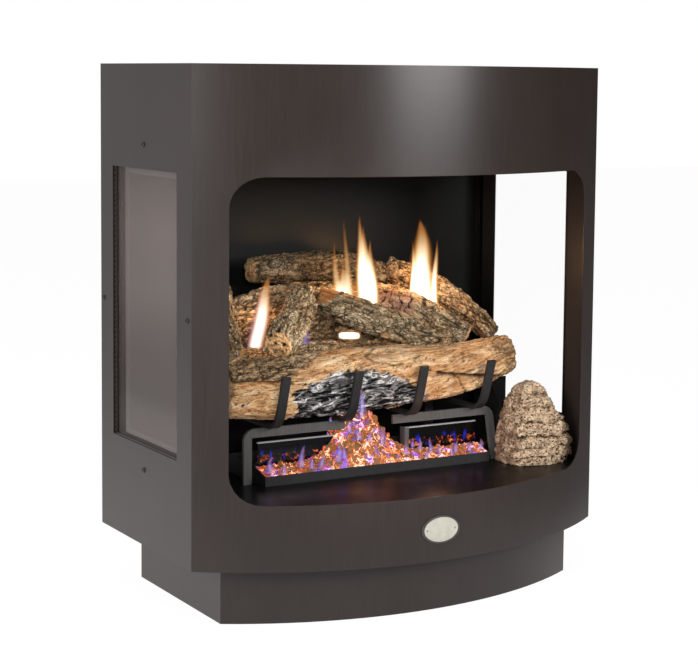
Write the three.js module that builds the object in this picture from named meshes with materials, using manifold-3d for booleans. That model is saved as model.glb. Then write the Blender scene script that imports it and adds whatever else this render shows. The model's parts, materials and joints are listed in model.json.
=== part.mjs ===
import * as THREE from 'three';
import { mergeVertices } from 'three/addons/utils/BufferGeometryUtils.js';
import Module from 'manifold-3d';

const wasm = await Module();
wasm.setup();

// Free-standing gas fireplace with a bowed front, glass sides and a ceramic log set.
// Lengths are millimetres, +Z is up and the front faces -Y.
// The origin lies on the floor below the middle of the whole object.

// Driving sizes of the cabinet
const cabinet = {
  width: 813,
  sideDepth: 381,
  bowRise: 135,
  bodyHeight: 830,
  sheet: 1.5,
  flange: 18,
};

const plinth = {
  height: 96,
  sideInset: 54,
  backInset: 53,
  frontInset: 2.3,
  bowRise: 95,
  sheet: 2,
};

const frontOpening = {
  sideMargin: 50.5,
  lipHeight: 2,
  height: 537.8,
  cornerRadius: 51,
};

const hearth = {
  height: 109,
  pipeHole: 26,
};

const firebox = {
  backGap: 18,
  sideGap: 15,
  sideReturn: 12,
  height: 598,
};

const cornerPost = {
  faceInset: 21,
  rearReach: 53,
};

const badge = {
  width: 76,
  height: 48,
  thickness: 2.5,
  centreX: -8,
  centreAboveCabinet: 54.5,
};

// Clearances and counts
const gap = 0.3;
const overrun = 5;
const weldTolerance = 0.001;
const bowSteps = 28;
const cornerSteps = 6;
const roundSides = 20;
const smallSides = 12;
const tubeSides = 10;
const knobSides = 28;
const tubeStepsPerRun = 12;
const screwDomeSteps = 3;

// Side windows and what holds their glass
const sideWindow = {
  frontMargin: 58,
  rearMargin: 54,
  sillAboveCabinet: 174,
  height: 477.5,
};

const gasket = {
  depth: 10.5,
  width: 9,
};

const glass = {
  thickness: 5,
};

const retainer = {
  sheet: 1.5,
  flangeClearance: 4,
  fit: 0.5,
  frontLip: 6,
  rearLip: 32,
  topLip: 12,
  bottomLip: 12,
};

const sideScrew = {
  headDiameter: 9,
  headHeight: 3,
  headEdge: 1,
  shankDiameter: 4.8,
  shankLength: 7,
  holeClearance: 0.6,
  fromFlangeEdge: 8.5,
};

// The fire set: its place in the cabinet, then each piece in the set's own frame
const fireSet = {
  centreX: -3,
  railSetback: 101,
  controlClearance: 6,
};

const grate = {
  barWidth: 16,
  barThickness: 6,
  railBottom: 81,
  leftRailInnerX: 59,
  rightRailInnerX: 41,
  cornerRadius: 22,
  footLean: 15,
  footSplay: 3,
  rearRailY: 212,
  innerFingerX: 67,
  outerFingerInset: 49,
  fingerBendY: -12,
  fingerBendReach: 26,
  fingerTipY: -66,
  fingerTipZ: 193,
  bendEndShare: 0.4,
};

const pan = {
  sideInset: 27,
  frontY: -32,
  rearY: 116,
  lipHeight: 17,
  wallHeight: 31,
  slopeRun: 52,
  sheet: 1.5,
};

const emberPlate = {
  y: 8,
  top: 70,
  leftInnerX: 76,
  rightInnerX: 74,
  endGap: 4,
  sheet: 1.5,
  fold: 5,
};

const burner = {
  diameter: 24,
  y: 50,
  leftInset: 27,
  rightReach: 15,
  socketDepth: 8,
};

const embers = {
  depthAtLip: 16,
  depthAtPlate: 29,
  moundX: -27,
  moundHeight: 94,
  moundLeftSpread: 52,
  moundRightSpread: 58,
  moundRearY: 33,
  moundFall: 0.8,
  lump: 2.2,
  lumpPitch: 9,
  stations: 32,
  rows: 6,
};

const pilot = {
  x: 150,
  standWidth: 14,
  standThickness: 2,
  standHeight: 44,
  standY: 76,
  footReach: 16,
  hoodDiameter: 12,
  hoodReach: 14,
  probeDiameter: 4,
  probeOffset: 5,
  probeReach: 16,
};

// Controls on the hearth at the right, in a frame set in the bracket's front face
const control = {
  fromSide: 104.5,
  setback: 76,
  leftReach: 40,
  rightReach: 48,
  height: 92,
  sheet: 2,
  foot: 20,
  axisHeight: 44,
};

const valve = {
  width: 56,
  depth: 44,
  height: 46,
  x: -9,
  noseDiameter: 24,
  noseReach: 6,
  stemDiameter: 8,
  stemReach: 26,
  socketDepth: 18,
  outletX: -26,
  inletX: 8,
  stubDiameter: 14,
  stubLength: 6,
};

const knob = {
  diameter: 38,
  gripDiameter: 30,
  skirt: 5,
  length: 22,
  travel: 5,
  endGap: 1,
  pointerWidth: 4,
  pointerHeight: 2,
};

const igniter = {
  x: 33,
  bodyDiameter: 18,
  bodyLength: 36,
  collarDiameter: 24,
  collarThickness: 3,
  boreDiameter: 12,
  boreDepth: 30,
  buttonFit: 0.5,
  buttonInside: 16,
  capDiameter: 15,
  capThickness: 4,
  capOverlap: 1,
  travel: 8,
  endGap: 1,
};

const shield = {
  rightX: 30,
  rearY: 94,
  height: 136,
  slopeRun: 40,
  pipeClearance: 2,
};

const pipe = {
  supplyDiameter: 9.5,
  supplyBend: 9,
  supplyFit: 0.3,
  inletDiameter: 20,
  inletBend: 18,
  inletBore: 13,
  inletBoreDepth: 15,
  inletDropRun: 24,
  belowHearth: 46,
  wallClearance: 2,
  endInset: 0.5,
};

const rock = {
  offsetX: 3,
  setback: 42,
  halfWidth: 67,
  halfDepth: 51,
  height: 148,
  wall: 11,
  backGap: 4,
  ripple: 2,
  sides: 20,
};

// Outline of the rock from its foot up: height, then left, right and depth reach
const rockLevelShares = [
  [0, 0.93, 0.9, 0.94],
  [0.09, 1, 0.98, 1],
  [0.2, 0.97, 1.01, 0.97],
  [0.3, 0.98, 1.02, 1],
  [0.42, 0.93, 0.91, 0.93],
  [0.52, 0.9, 0.79, 0.87],
  [0.66, 0.76, 0.53, 0.78],
  [0.8, 0.7, 0.35, 0.66],
  [0.92, 0.54, 0.17, 0.45],
  [0.98, 0.36, 0.05, 0.24],
];

// Ceramic logs, as shares of the stack's reach to the side, to the back and upwards, and of a log's radius
const logStack = {
  sideOverhang: 41,
  rearClearance: 9,
  height: 390,
  radius: 50,
};

const logs = [
  {
    name: 'log_front',
    radiusShare: 1.14,
    girthShares: [0.8, 1, 1.03, 0.97, 0.86, 0.62],
    lineShares: [
      [-1, -0.03, 0.43],
      [-0.5, -0.025, 0.425],
      [0.17, -0.02, 0.43],
      [0.6, -0.025, 0.44],
      [0.95, -0.04, 0.5],
    ],
    splitDepthShare: 0.88,
    splitTurn: 0.25,
    phase: 0.4,
    finish: 'splitWood',
  },
  {
    name: 'log_middle_base',
    radiusShare: 1.16,
    girthShares: [0.85, 1, 1.02, 1, 0.9, 0.75],
    lineShares: [[-1, 0.37, 0.43], [-0.3, 0.38, 0.425], [0.24, 0.38, 0.42], [0.8, 0.38, 0.41]],
    phase: 1.7,
    finish: 'bark',
  },
  {
    name: 'log_rear_base',
    radiusShare: 1.1,
    girthShares: [0.84, 0.97, 1, 1, 0.96, 0.84],
    lineShares: [[-0.87, 0.77, 0.41], [0, 0.79, 0.41], [0.88, 0.77, 0.41]],
    phase: 3.1,
    finish: 'bark',
  },
  {
    name: 'log_rear_upper',
    radiusShare: 1.24,
    girthShares: [0.7, 0.93, 1.02, 1, 0.92, 0.7],
    lineShares: [[-0.75, 0.57, 0.67], [-0.2, 0.59, 0.682], [0.2, 0.6, 0.675], [0.68, 0.6, 0.64]],
    phase: 4.4,
    finish: 'bark',
  },
  {
    name: 'log_left_side',
    radiusShare: 0.6,
    girthShares: [0.85, 1, 1, 0.97, 1, 0.85],
    lineShares: [[-0.9, 0.14, 0.59], [-0.86, 0.4, 0.7], [-0.76, 0.68, 0.82]],
    phase: 0.9,
    finish: 'bark',
  },
  {
    name: 'log_centre_cross',
    radiusShare: 0.56,
    girthShares: [0.82, 1.02, 1, 0.94, 0.88, 0.72],
    lineShares: [
      [-0.24, 0.31, 0.78],
      [-0.07, 0.19, 0.731],
      [0.13, 0.1, 0.667],
      [0.39, 0.05, 0.6],
      [0.56, 0.02, 0.56],
    ],
    phase: 5.2,
    finish: 'bark',
  },
  {
    name: 'log_left_cross',
    radiusShare: 0.6,
    girthShares: [0.92, 1, 1.02, 1, 1.02, 0.96],
    lineShares: [[-0.665, -0.05, 0.615], [-0.47, 0.16, 0.695], [-0.27, 0.4, 0.785]],
    phase: 2.2,
    finish: 'bark',
  },
  {
    name: 'log_right_cross',
    radiusShare: 0.54,
    girthShares: [0.82, 0.98, 1.06, 1, 0.88, 0.74],
    lineShares: [[0.22, 0.45, 0.745], [0.38, 0.32, 0.726], [0.54, 0.21, 0.664], [0.71, 0.08, 0.587]],
    phase: 3.8,
    finish: 'bark',
  },
  {
    name: 'log_right_back',
    radiusShare: 0.58,
    girthShares: [0.85, 0.98, 1.02, 1, 0.86, 0.64],
    lineShares: [[0.44, 0.71, 0.87], [0.63, 0.5, 0.79], [0.79, 0.3, 0.69], [0.92, 0.1, 0.58]],
    phase: 1.2,
    finish: 'bark',
  },
  {
    name: 'log_back',
    radiusShare: 0.58,
    girthShares: [0.78, 0.96, 1, 1.26, 1.14, 0.85],
    lineShares: [[-0.54, 0.67, 0.9], [-0.26, 0.68, 0.898], [0.09, 0.69, 0.886], [0.4, 0.67, 0.845]],
    phase: 2.7,
    finish: 'bark',
  },
];
const logRings = 12;
const logSides = 14;
const lumpShare = 0.06;
const capBulgeShare = 0.12;

// Faces and heights that many pieces share
const cabinetBottom = plinth.height;
const cabinetTop = cabinetBottom + cabinet.bodyHeight;
const overallDepth = cabinet.sideDepth + cabinet.bowRise + badge.thickness;
const backY = overallDepth / 2;
const sideFrontY = backY - cabinet.sideDepth;
const halfWidth = cabinet.width / 2;
const sideInnerX = halfWidth - cabinet.sheet;
const hearthTop = cabinetBottom + hearth.height;
const controlX = halfWidth - control.fromSide;
const controlY = sideFrontY + control.setback;
const railOuterX = controlX - control.leftReach - fireSet.controlClearance - fireSet.centreX;
const panHalfWidth = railOuterX - pan.sideInset;
const burnerLeftX = burner.leftInset - panHalfWidth;
const burnerRightX = panHalfWidth + burner.rightReach;

// A bowed front is a circular arc through the two front corners.
function bowArc(half, rise, edgeY) {
  const radius = (half * half + rise * rise) / (2 * rise);
  return { radius, centreY: edgeY - rise + radius };
}

function bowY(arc, x, inset) {
  return arc.centreY - Math.sqrt((arc.radius - inset) ** 2 - x * x);
}

function bowPoints(arc, inset, fromX, toX) {
  const points = [];
  for (let step = 0; step <= bowSteps; step += 1) {
    const x = fromX + ((toX - fromX) * step) / bowSteps;
    points.push([x, bowY(arc, x, inset)]);
  }
  return points;
}

const cabinetBow = bowArc(halfWidth, cabinet.bowRise, sideFrontY);

// Conversion between three.js geometry and boolean solids
function solidOf(geometry) {
  const bare = geometry.clone();
  bare.deleteAttribute('normal');
  bare.deleteAttribute('uv');
  const merged = mergeVertices(bare, weldTolerance);
  return new wasm.Manifold(new wasm.Mesh({
    numProp: 3,
    vertProperties: new Float32Array(merged.attributes.position.array),
    triVerts: new Uint32Array(merged.index.array),
  }));
}

function geometryOf(solid) {
  const mesh = solid.getMesh();
  const geometry = new THREE.BufferGeometry();
  geometry.setAttribute('position', new THREE.BufferAttribute(new Float32Array(mesh.vertProperties), 3));
  geometry.setIndex(new THREE.BufferAttribute(new Uint32Array(mesh.triVerts), 1));
  const faceted = geometry.toNonIndexed();
  faceted.computeVertexNormals();
  return faceted;
}

function cut(base, ...tools) {
  return tools.reduce((result, tool) => result.subtract(tool), base);
}

function join(base, ...others) {
  return others.reduce((result, other) => result.add(other), base);
}

function moved(solid, movePoint, turnFaces = false) {
  const mesh = solid.getMesh();
  const points = new Float32Array(mesh.vertProperties);
  const point = new THREE.Vector3();
  for (let index = 0; index < points.length; index += 3) {
    movePoint(point.fromArray(points, index));
    point.toArray(points, index);
  }
  const faces = new Uint32Array(mesh.triVerts);
  if (turnFaces) faces.reverse();
  return new wasm.Manifold(new wasm.Mesh({ numProp: 3, vertProperties: points, triVerts: faces }));
}

// The mirror image of a right-hand piece, for the left
function mirrored(solid) {
  return moved(solid, (point) => point.setX(-point.x), true);
}

// Simple solids
function block(fromX, toX, fromY, toY, fromZ, toZ) {
  const geometry = new THREE.BoxGeometry(toX - fromX, toY - fromY, toZ - fromZ);
  geometry.translate((fromX + toX) / 2, (fromY + toY) / 2, (fromZ + toZ) / 2);
  return solidOf(geometry);
}

function shapeOf(points) {
  return new THREE.Shape(points.map(([u, v]) => new THREE.Vector2(u, v)));
}

// An outline in X and Y, raised along Z
function raised(points, fromZ, toZ) {
  const geometry = new THREE.ExtrudeGeometry(shapeOf(points), { depth: toZ - fromZ, bevelEnabled: false });
  geometry.translate(0, 0, fromZ);
  return solidOf(geometry);
}

// An outline in X and Z, run along Y
function runBack(points, fromY, toY) {
  const geometry = new THREE.ExtrudeGeometry(shapeOf(points), { depth: toY - fromY, bevelEnabled: false });
  geometry.rotateX(Math.PI / 2);
  geometry.translate(0, toY, 0);
  return solidOf(geometry);
}

// An outline in Y and Z, run along X
function runAcross(points, fromX, toX) {
  const geometry = new THREE.ExtrudeGeometry(shapeOf(points), { depth: toX - fromX, bevelEnabled: false });
  const turn = new THREE.Matrix4().makeBasis(
    new THREE.Vector3(0, 1, 0),
    new THREE.Vector3(0, 0, 1),
    new THREE.Vector3(1, 0, 0),
  );
  geometry.applyMatrix4(turn);
  geometry.translate(fromX, 0, 0);
  return solidOf(geometry);
}

// A round bar from one point to another
function rod(from, to, diameter, sides = roundSides) {
  const start = new THREE.Vector3(...from);
  const end = new THREE.Vector3(...to);
  const length = start.distanceTo(end);
  const geometry = new THREE.CylinderGeometry(diameter / 2, diameter / 2, length, sides);
  const direction = end.clone().sub(start).normalize();
  const turn = new THREE.Quaternion().setFromUnitVectors(new THREE.Vector3(0, 1, 0), direction);
  geometry.applyQuaternion(turn);
  geometry.translate((start.x + end.x) / 2, (start.y + end.y) / 2, (start.z + end.z) / 2);
  return solidOf(geometry);
}

function roundedRectangle(left, bottom, right, top, radius) {
  const corners = [
    [right - radius, bottom + radius, -Math.PI / 2],
    [right - radius, top - radius, 0],
    [left + radius, top - radius, Math.PI / 2],
    [left + radius, bottom + radius, Math.PI],
  ];
  return corners.flatMap(([u, v, start]) => {
    const arc = [];
    for (let step = 0; step <= cornerSteps; step += 1) {
      const angle = start + ((Math.PI / 2) * step) / cornerSteps;
      arc.push([u + radius * Math.cos(angle), v + radius * Math.sin(angle)]);
    }
    return arc;
  });
}

// A round tube along straight runs with rounded corners
function bentTube(points, diameter, bendRadius, sides = tubeSides) {
  const corners = points.map((point) => new THREE.Vector3(...point));
  const path = new THREE.CurvePath();
  let start = corners[0];
  for (let index = 1; index < corners.length - 1; index += 1) {
    const before = corners[index - 1].clone().sub(corners[index]).setLength(bendRadius).add(corners[index]);
    const after = corners[index + 1].clone().sub(corners[index]).setLength(bendRadius).add(corners[index]);
    path.add(new THREE.LineCurve3(start, before));
    path.add(new THREE.QuadraticBezierCurve3(before, corners[index], after));
    start = after;
  }
  path.add(new THREE.LineCurve3(start, corners[corners.length - 1]));
  const section = [];
  for (let side = 0; side < sides; side += 1) {
    const angle = (2 * Math.PI * side) / sides;
    section.push([(diameter / 2) * Math.cos(angle), (diameter / 2) * Math.sin(angle)]);
  }
  const steps = tubeStepsPerRun * (corners.length - 1);
  return solidOf(new THREE.ExtrudeGeometry(shapeOf(section), { steps, extrudePath: path }));
}

// A body skinned over rings of equal point count, closed by a point at each end
function skinned(rings, startPoint, endPoint) {
  const count = rings[0].length;
  const vertices = [...rings.flat(), startPoint, endPoint];
  const index = [];
  const startIndex = rings.length * count;
  const endIndex = startIndex + 1;
  const last = (rings.length - 1) * count;
  for (let ring = 0; ring < rings.length - 1; ring += 1) {
    for (let side = 0; side < count; side += 1) {
      const near = ring * count + side;
      const nearNext = ring * count + ((side + 1) % count);
      index.push(near, nearNext, nearNext + count);
      index.push(near, nearNext + count, near + count);
    }
  }
  for (let side = 0; side < count; side += 1) {
    const next = (side + 1) % count;
    index.push(startIndex, next, side);
    index.push(endIndex, last + side, last + next);
  }
  const geometry = new THREE.BufferGeometry();
  const flat = vertices.flatMap((vertex) => [vertex.x, vertex.y, vertex.z]);
  geometry.setAttribute('position', new THREE.Float32BufferAttribute(flat, 3));
  geometry.setIndex(index);
  return solidOf(geometry);
}

// Finishes
const finishes = {
  bronze: { color: 0x4f4643, roughness: 0.42, metalness: 0.55 },
  black: { color: 0x1d1c1b, roughness: 0.5, metalness: 0.3 },
  glass: { color: 0x8f8a88, roughness: 0.05, metalness: 0, transparent: true, opacity: 0.35 },
  rope: { color: 0x2a2725, roughness: 0.95, metalness: 0 },
  screw: { color: 0x1a1918, roughness: 0.35, metalness: 0.6 },
  ivory: { color: 0xc9c4b4, roughness: 0.45, metalness: 0.2 },
  iron: { color: 0x3b3c3e, roughness: 0.6, metalness: 0.4 },
  steel: { color: 0x8d8f92, roughness: 0.4, metalness: 0.8 },
  ember: { color: 0x8a6a4a, roughness: 0.95, metalness: 0 },
  bark: { color: 0x6e5f4c, roughness: 0.95, metalness: 0 },
  splitWood: { color: 0xc08a52, roughness: 0.9, metalness: 0 },
  rock: { color: 0xa18f74, roughness: 0.95, metalness: 0 },
  valveBody: { color: 0xa2a4a6, roughness: 0.5, metalness: 0.6 },
  plastic: { color: 0x161616, roughness: 0.4, metalness: 0 },
  brass: { color: 0xb08d4a, roughness: 0.35, metalness: 0.9 },
};

const fireplace = new THREE.Group();

function place(parent, name, solid, finish) {
  const mesh = new THREE.Mesh(geometryOf(solid), new THREE.MeshStandardMaterial(finishes[finish]));
  mesh.name = name;
  parent.add(mesh);
  return mesh;
}

// Plinth: a bowed front sheet with folded sides, and a back sheet between them
function buildPlinth() {
  const half = halfWidth - plinth.sideInset;
  const frontCornerY = sideFrontY + plinth.frontInset;
  const rearY = backY - plinth.backInset;
  const arc = bowArc(half, plinth.bowRise, frontCornerY);
  const inner = half - plinth.sheet;
  const wrap = [
    [-half, rearY],
    ...bowPoints(arc, 0, -half, half),
    [half, rearY],
    [inner, rearY],
    ...bowPoints(arc, plinth.sheet, inner, -inner),
    [-inner, rearY],
  ];
  place(fireplace, 'plinth_front_wrap', raised(wrap, 0, plinth.height), 'bronze');
  const backSheet = block(-inner + gap, inner - gap, rearY - plinth.sheet, rearY, 0, plinth.height);
  place(fireplace, 'plinth_back', backSheet, 'bronze');
}

// The plan outline inside the cabinet skins, drawn in by a clearance
function interiorOutline(clearance, rearY) {
  const side = sideInnerX - clearance;
  return [
    ...bowPoints(cabinetBow, cabinet.sheet + clearance, -side, side),
    [side, rearY],
    [-side, rearY],
  ];
}

// A sheet tray with one folded rim, up or down
function tray(rearY, plateBottom, rimBottom, rimTop) {
  const outer = raised(interiorOutline(gap, rearY), rimBottom, rimTop);
  const insideOutline = interiorOutline(gap + cabinet.sheet, rearY - cabinet.sheet);
  const plateTop = plateBottom + cabinet.sheet;
  const below = raised(insideOutline, rimBottom - overrun, plateBottom);
  const above = raised(insideOutline, plateTop, rimTop + overrun);
  return cut(outer, below, above);
}

const innerRearY = backY - cabinet.sheet - gap;
const valveRearY = control.sheet + valve.depth;
const stubEndY = valveRearY + valve.stubLength;
const pipeX = controlX + valve.inletX;
const pipeDropY = controlY + stubEndY + pipe.inletDropRun;
const pipeRunZ = hearthTop - pipe.belowHearth;

function buildShell() {
  const base = tray(innerRearY, cabinetBottom, cabinetBottom, cabinetBottom + cabinet.flange);
  place(fireplace, 'base_pan', base, 'black');

  const lidBottom = cabinetTop - cabinet.sheet;
  const lid = tray(innerRearY, lidBottom, cabinetTop - cabinet.flange, cabinetTop);
  place(fireplace, 'top_panel', lid, 'bronze');

  const floorBottom = hearthTop - cabinet.sheet;
  const floor = tray(innerRearY, floorBottom, hearthTop - cabinet.flange, hearthTop);
  const floorHole = rod(
    [pipeX, pipeDropY, hearthTop - cabinet.flange],
    [pipeX, pipeDropY, hearthTop + overrun],
    hearth.pipeHole,
  );
  place(fireplace, 'hearth_floor', cut(floor, floorHole), 'black');

  const backHalf = sideInnerX - gap;
  const back = block(-backHalf, backHalf, backY - cabinet.sheet, backY, cabinetBottom, cabinetTop);
  const holeDiameter = pipe.inletDiameter + 2 * pipe.wallClearance;
  const backHole = rod([pipeX, backY - overrun, pipeRunZ], [pipeX, backY + overrun, pipeRunZ], holeDiameter);
  place(fireplace, 'back_panel', cut(back, backHole), 'bronze');
}

function buildFrontPanel() {
  const skin = [
    ...bowPoints(cabinetBow, 0, -halfWidth, halfWidth),
    ...bowPoints(cabinetBow, cabinet.sheet, halfWidth, -halfWidth),
  ];
  const sheet = raised(skin, cabinetBottom, cabinetTop);
  const left = -halfWidth + frontOpening.sideMargin;
  const bottom = hearthTop + frontOpening.lipHeight;
  const top = bottom + frontOpening.height;
  const outline = roundedRectangle(left, bottom, -left, top, frontOpening.cornerRadius);
  const opening = runBack(outline, -backY - overrun, sideFrontY + overrun);
  place(fireplace, 'front_panel', cut(sheet, opening), 'bronze');
}

// Window rectangle in Y and Z, grown outwards by a border on each side
const windowFrontY = sideFrontY + sideWindow.frontMargin;
const windowRearY = backY - sideWindow.rearMargin;
const windowBottom = cabinetBottom + sideWindow.sillAboveCabinet;
const windowTop = windowBottom + sideWindow.height;

function windowBlock(fromX, toX, border) {
  return block(
    fromX, toX,
    windowFrontY - border, windowRearY + border,
    windowBottom - border, windowTop + border,
  );
}

const windowMiddleY = (windowFrontY + windowRearY) / 2;
const windowMiddleZ = (windowBottom + windowTop) / 2;
const flangeReach = Math.min(sideWindow.frontMargin, sideWindow.rearMargin) - retainer.flangeClearance;
const screwReach = flangeReach - sideScrew.fromFlangeEdge;
const screwPlaces = {
  top: [windowMiddleY, windowTop + screwReach],
  bottom: [windowMiddleY, windowBottom - screwReach],
  front: [windowFrontY - screwReach, windowMiddleZ],
  rear: [windowRearY + screwReach, windowMiddleZ],
};

function screwHoles(fromX, toX) {
  const hole = sideScrew.shankDiameter + sideScrew.holeClearance;
  return Object.values(screwPlaces).map(([y, z]) => rod([fromX, y, z], [toX, y, z], hole, smallSides));
}

// The pieces of the right side, which are mirrored for the left
function sidePieces() {
  const frontEdgeY = bowY(cabinetBow, halfWidth, cabinet.sheet) + gap;
  const sheet = block(sideInnerX, halfWidth, frontEdgeY, backY, cabinetBottom, cabinetTop);
  const panel = cut(
    sheet,
    windowBlock(sideInnerX - overrun, halfWidth + overrun, 0),
    ...screwHoles(sideInnerX - overrun, halfWidth + overrun),
  );

  const gasketInnerX = sideInnerX - gasket.depth;
  const rope = cut(
    windowBlock(gasketInnerX, sideInnerX, gasket.width),
    windowBlock(gasketInnerX - overrun, sideInnerX + overrun, 0),
  );

  const glassInnerX = gasketInnerX - glass.thickness;
  const pane = windowBlock(glassInnerX, gasketInnerX, gasket.width);

  const pocket = gasket.width + retainer.fit;
  const wall = pocket + retainer.sheet;
  const faceX = glassInnerX - retainer.sheet;
  const hat = join(
    windowBlock(sideInnerX - retainer.sheet, sideInnerX, flangeReach),
    windowBlock(faceX, sideInnerX - retainer.sheet / 2, wall),
  );
  const sight = block(
    faceX - overrun, glassInnerX + overrun,
    windowFrontY + retainer.frontLip, windowRearY - retainer.rearLip,
    windowBottom + retainer.bottomLip, windowTop - retainer.topLip,
  );
  const frame = cut(
    hat,
    windowBlock(glassInnerX, sideInnerX + overrun, pocket),
    sight,
    ...screwHoles(sideInnerX - overrun, sideInnerX + overrun),
  );
  return { panel, rope, pane, frame };
}

function screwGeometry() {
  const radius = sideScrew.headDiameter / 2;
  const profile = [[0, -sideScrew.shankLength]];
  profile.push([sideScrew.shankDiameter / 2, -sideScrew.shankLength]);
  profile.push([sideScrew.shankDiameter / 2, 0]);
  profile.push([radius, 0]);
  const dome = sideScrew.headHeight - sideScrew.headEdge;
  for (let step = 0; step < screwDomeSteps; step += 1) {
    const angle = ((Math.PI / 2) * step) / screwDomeSteps;
    profile.push([radius * Math.cos(angle), sideScrew.headEdge + dome * Math.sin(angle)]);
  }
  profile.push([0, sideScrew.headHeight]);
  return new THREE.LatheGeometry(profile.map(([r, h]) => new THREE.Vector2(r, h)), smallSides);
}

function buildSides() {
  const { panel, rope, pane, frame } = sidePieces();
  const sides = [
    { name: 'right', shaped: (solid) => solid, sign: 1 },
    { name: 'left', shaped: mirrored, sign: -1 },
  ];
  for (const { name, shaped, sign } of sides) {
    place(fireplace, `side_panel_${name}`, shaped(panel), 'bronze');
    place(fireplace, `window_gasket_${name}`, shaped(rope), 'rope');
    place(fireplace, `window_glass_${name}`, shaped(pane), 'glass');
    place(fireplace, `glass_retainer_${name}`, shaped(frame), 'black');
    for (const [where, [y, z]] of Object.entries(screwPlaces)) {
      const screw = place(fireplace, `side_screw_${name}_${where}`, solidOf(screwGeometry()), 'screw');
      screw.rotation.z = -sign * (Math.PI / 2);
      screw.position.set(sign * halfWidth, y, z);
    }
  }
}

// Inner sheets of the firebox
const fireboxBackY = backY - cabinet.sheet - firebox.backGap;
const fireboxTop = hearthTop + firebox.height;

function buildFirebox() {
  const side = sideInnerX - firebox.sideGap;
  const returnY = fireboxBackY - firebox.sideReturn;
  const channel = [
    [-side, returnY],
    [-side + cabinet.sheet, returnY],
    [-side + cabinet.sheet, fireboxBackY - cabinet.sheet],
    [side - cabinet.sheet, fireboxBackY - cabinet.sheet],
    [side - cabinet.sheet, returnY],
    [side, returnY],
    [side, fireboxBackY],
    [-side, fireboxBackY],
  ];
  place(fireplace, 'firebox_back', raised(channel, hearthTop, fireboxTop), 'black');

  const ceiling = tray(innerRearY, fireboxTop, fireboxTop, fireboxTop + cabinet.flange);
  place(fireplace, 'firebox_ceiling', ceiling, 'black');

  const faceX = halfWidth - cornerPost.faceInset;
  const inset = cabinet.sheet + gap;
  const outerX = sideInnerX - retainer.sheet - gap;
  const rearY = sideFrontY + cornerPost.rearReach;
  const foldX = faceX + cabinet.sheet;
  const post = [
    [faceX, rearY],
    [faceX, bowY(cabinetBow, faceX, inset)],
    [outerX, bowY(cabinetBow, outerX, inset)],
    [outerX, bowY(cabinetBow, outerX, inset) + cabinet.sheet],
    [foldX, bowY(cabinetBow, foldX, inset) + cabinet.sheet],
    [foldX, rearY],
  ];
  const right = raised(post, hearthTop, fireboxTop);
  place(fireplace, 'corner_post_right', right, 'bronze');
  place(fireplace, 'corner_post_left', mirrored(right), 'bronze');
}

// A blank oval plate that follows the bow of the front
function buildBadge() {
  const outline = [];
  for (let side = 0; side < 2 * roundSides; side += 1) {
    const angle = (Math.PI * side) / roundSides;
    outline.push([
      badge.centreX + (badge.width / 2) * Math.cos(angle),
      cabinetBottom + badge.centreAboveCabinet + (badge.height / 2) * Math.sin(angle),
    ]);
  }
  const column = runBack(outline, -backY - overrun, sideFrontY);
  const half = badge.width / 2 + overrun;
  const shell = [
    ...bowPoints(cabinetBow, -badge.thickness, badge.centreX - half, badge.centreX + half),
    ...bowPoints(cabinetBow, -gap, badge.centreX + half, badge.centreX - half),
  ];
  const skin = raised(shell, cabinetBottom, hearthTop);
  place(fireplace, 'badge_plate', column.intersect(skin), 'ivory');
}

// Fire set frame: X from its middle, Y from the front rail, Z from the hearth
const fire = new THREE.Group();
const fireY = sideFrontY + fireSet.railSetback;
fire.position.set(fireSet.centreX, fireY, hearthTop);

const railTop = grate.railBottom + grate.barWidth;
const fingerTop = railTop + grate.barThickness;
const outerFingerX = railOuterX - grate.outerFingerInset;
const fingerXs = [-outerFingerX, -grate.innerFingerX, grate.innerFingerX, outerFingerX];

// One front rail is a flat bar bent down at its outer end into a leg.
function frontRail(innerX, grow) {
  const half = grate.barThickness / 2 + grow;
  const legInner = railOuterX - grate.barWidth;
  const radius = grate.cornerRadius;
  const outline = [
    [innerX - grow, grate.railBottom - grow],
    [legInner - grow, grate.railBottom - grow],
    [legInner - grow, 0],
    [railOuterX + grow, 0],
  ];
  for (let step = 0; step <= cornerSteps; step += 1) {
    const angle = ((Math.PI / 2) * step) / cornerSteps;
    outline.push([
      railOuterX - radius + (radius + grow) * Math.cos(angle),
      railTop - radius + (radius + grow) * Math.sin(angle),
    ]);
  }
  outline.push([innerX - grow, railTop + grow]);
  return runBack(outline, -half, half);
}

// The right foot is bent a little forwards and outwards.
function leanFoot(solid) {
  return moved(solid, (point) => {
    if (point.z > weldTolerance) return;
    point.x += grate.footSplay;
    point.y -= grate.footLean;
  });
}

// The fingers lie across the rails and turn up in front of the logs.
function fingerOutline(grow) {
  const middle = railTop + grate.barThickness / 2;
  const start = new THREE.Vector2(grate.rearRailY, middle);
  const flatEnd = new THREE.Vector2(grate.fingerBendY, middle);
  const bend = new THREE.Vector2(grate.fingerBendY - grate.fingerBendReach, middle);
  const tip = new THREE.Vector2(grate.fingerTipY, grate.fingerTipZ);
  const rise = bend.clone().lerp(tip, grate.bendEndShare);
  const curve = new THREE.QuadraticBezierCurve(flatEnd, bend, rise);
  const centre = [start, ...curve.getPoints(cornerSteps), tip];
  const half = grate.barThickness / 2 + grow;
  const lower = [];
  const upper = [];
  centre.forEach((point, index) => {
    const before = centre[Math.max(index - 1, 0)];
    const after = centre[Math.min(index + 1, centre.length - 1)];
    const along = after.clone().sub(before).normalize();
    const side = new THREE.Vector2(-along.y, along.x).multiplyScalar(half);
    const end = point.clone();
    if (index === centre.length - 1) end.addScaledVector(along, grow);
    lower.push([end.x + side.x, end.y + side.y]);
    upper.unshift([end.x - side.x, end.y - side.y]);
  });
  return [...lower, ...upper];
}

function finger(x, grow) {
  const half = grate.barWidth / 2 + grow;
  return runAcross(fingerOutline(grow), x - half, x + half);
}

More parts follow.
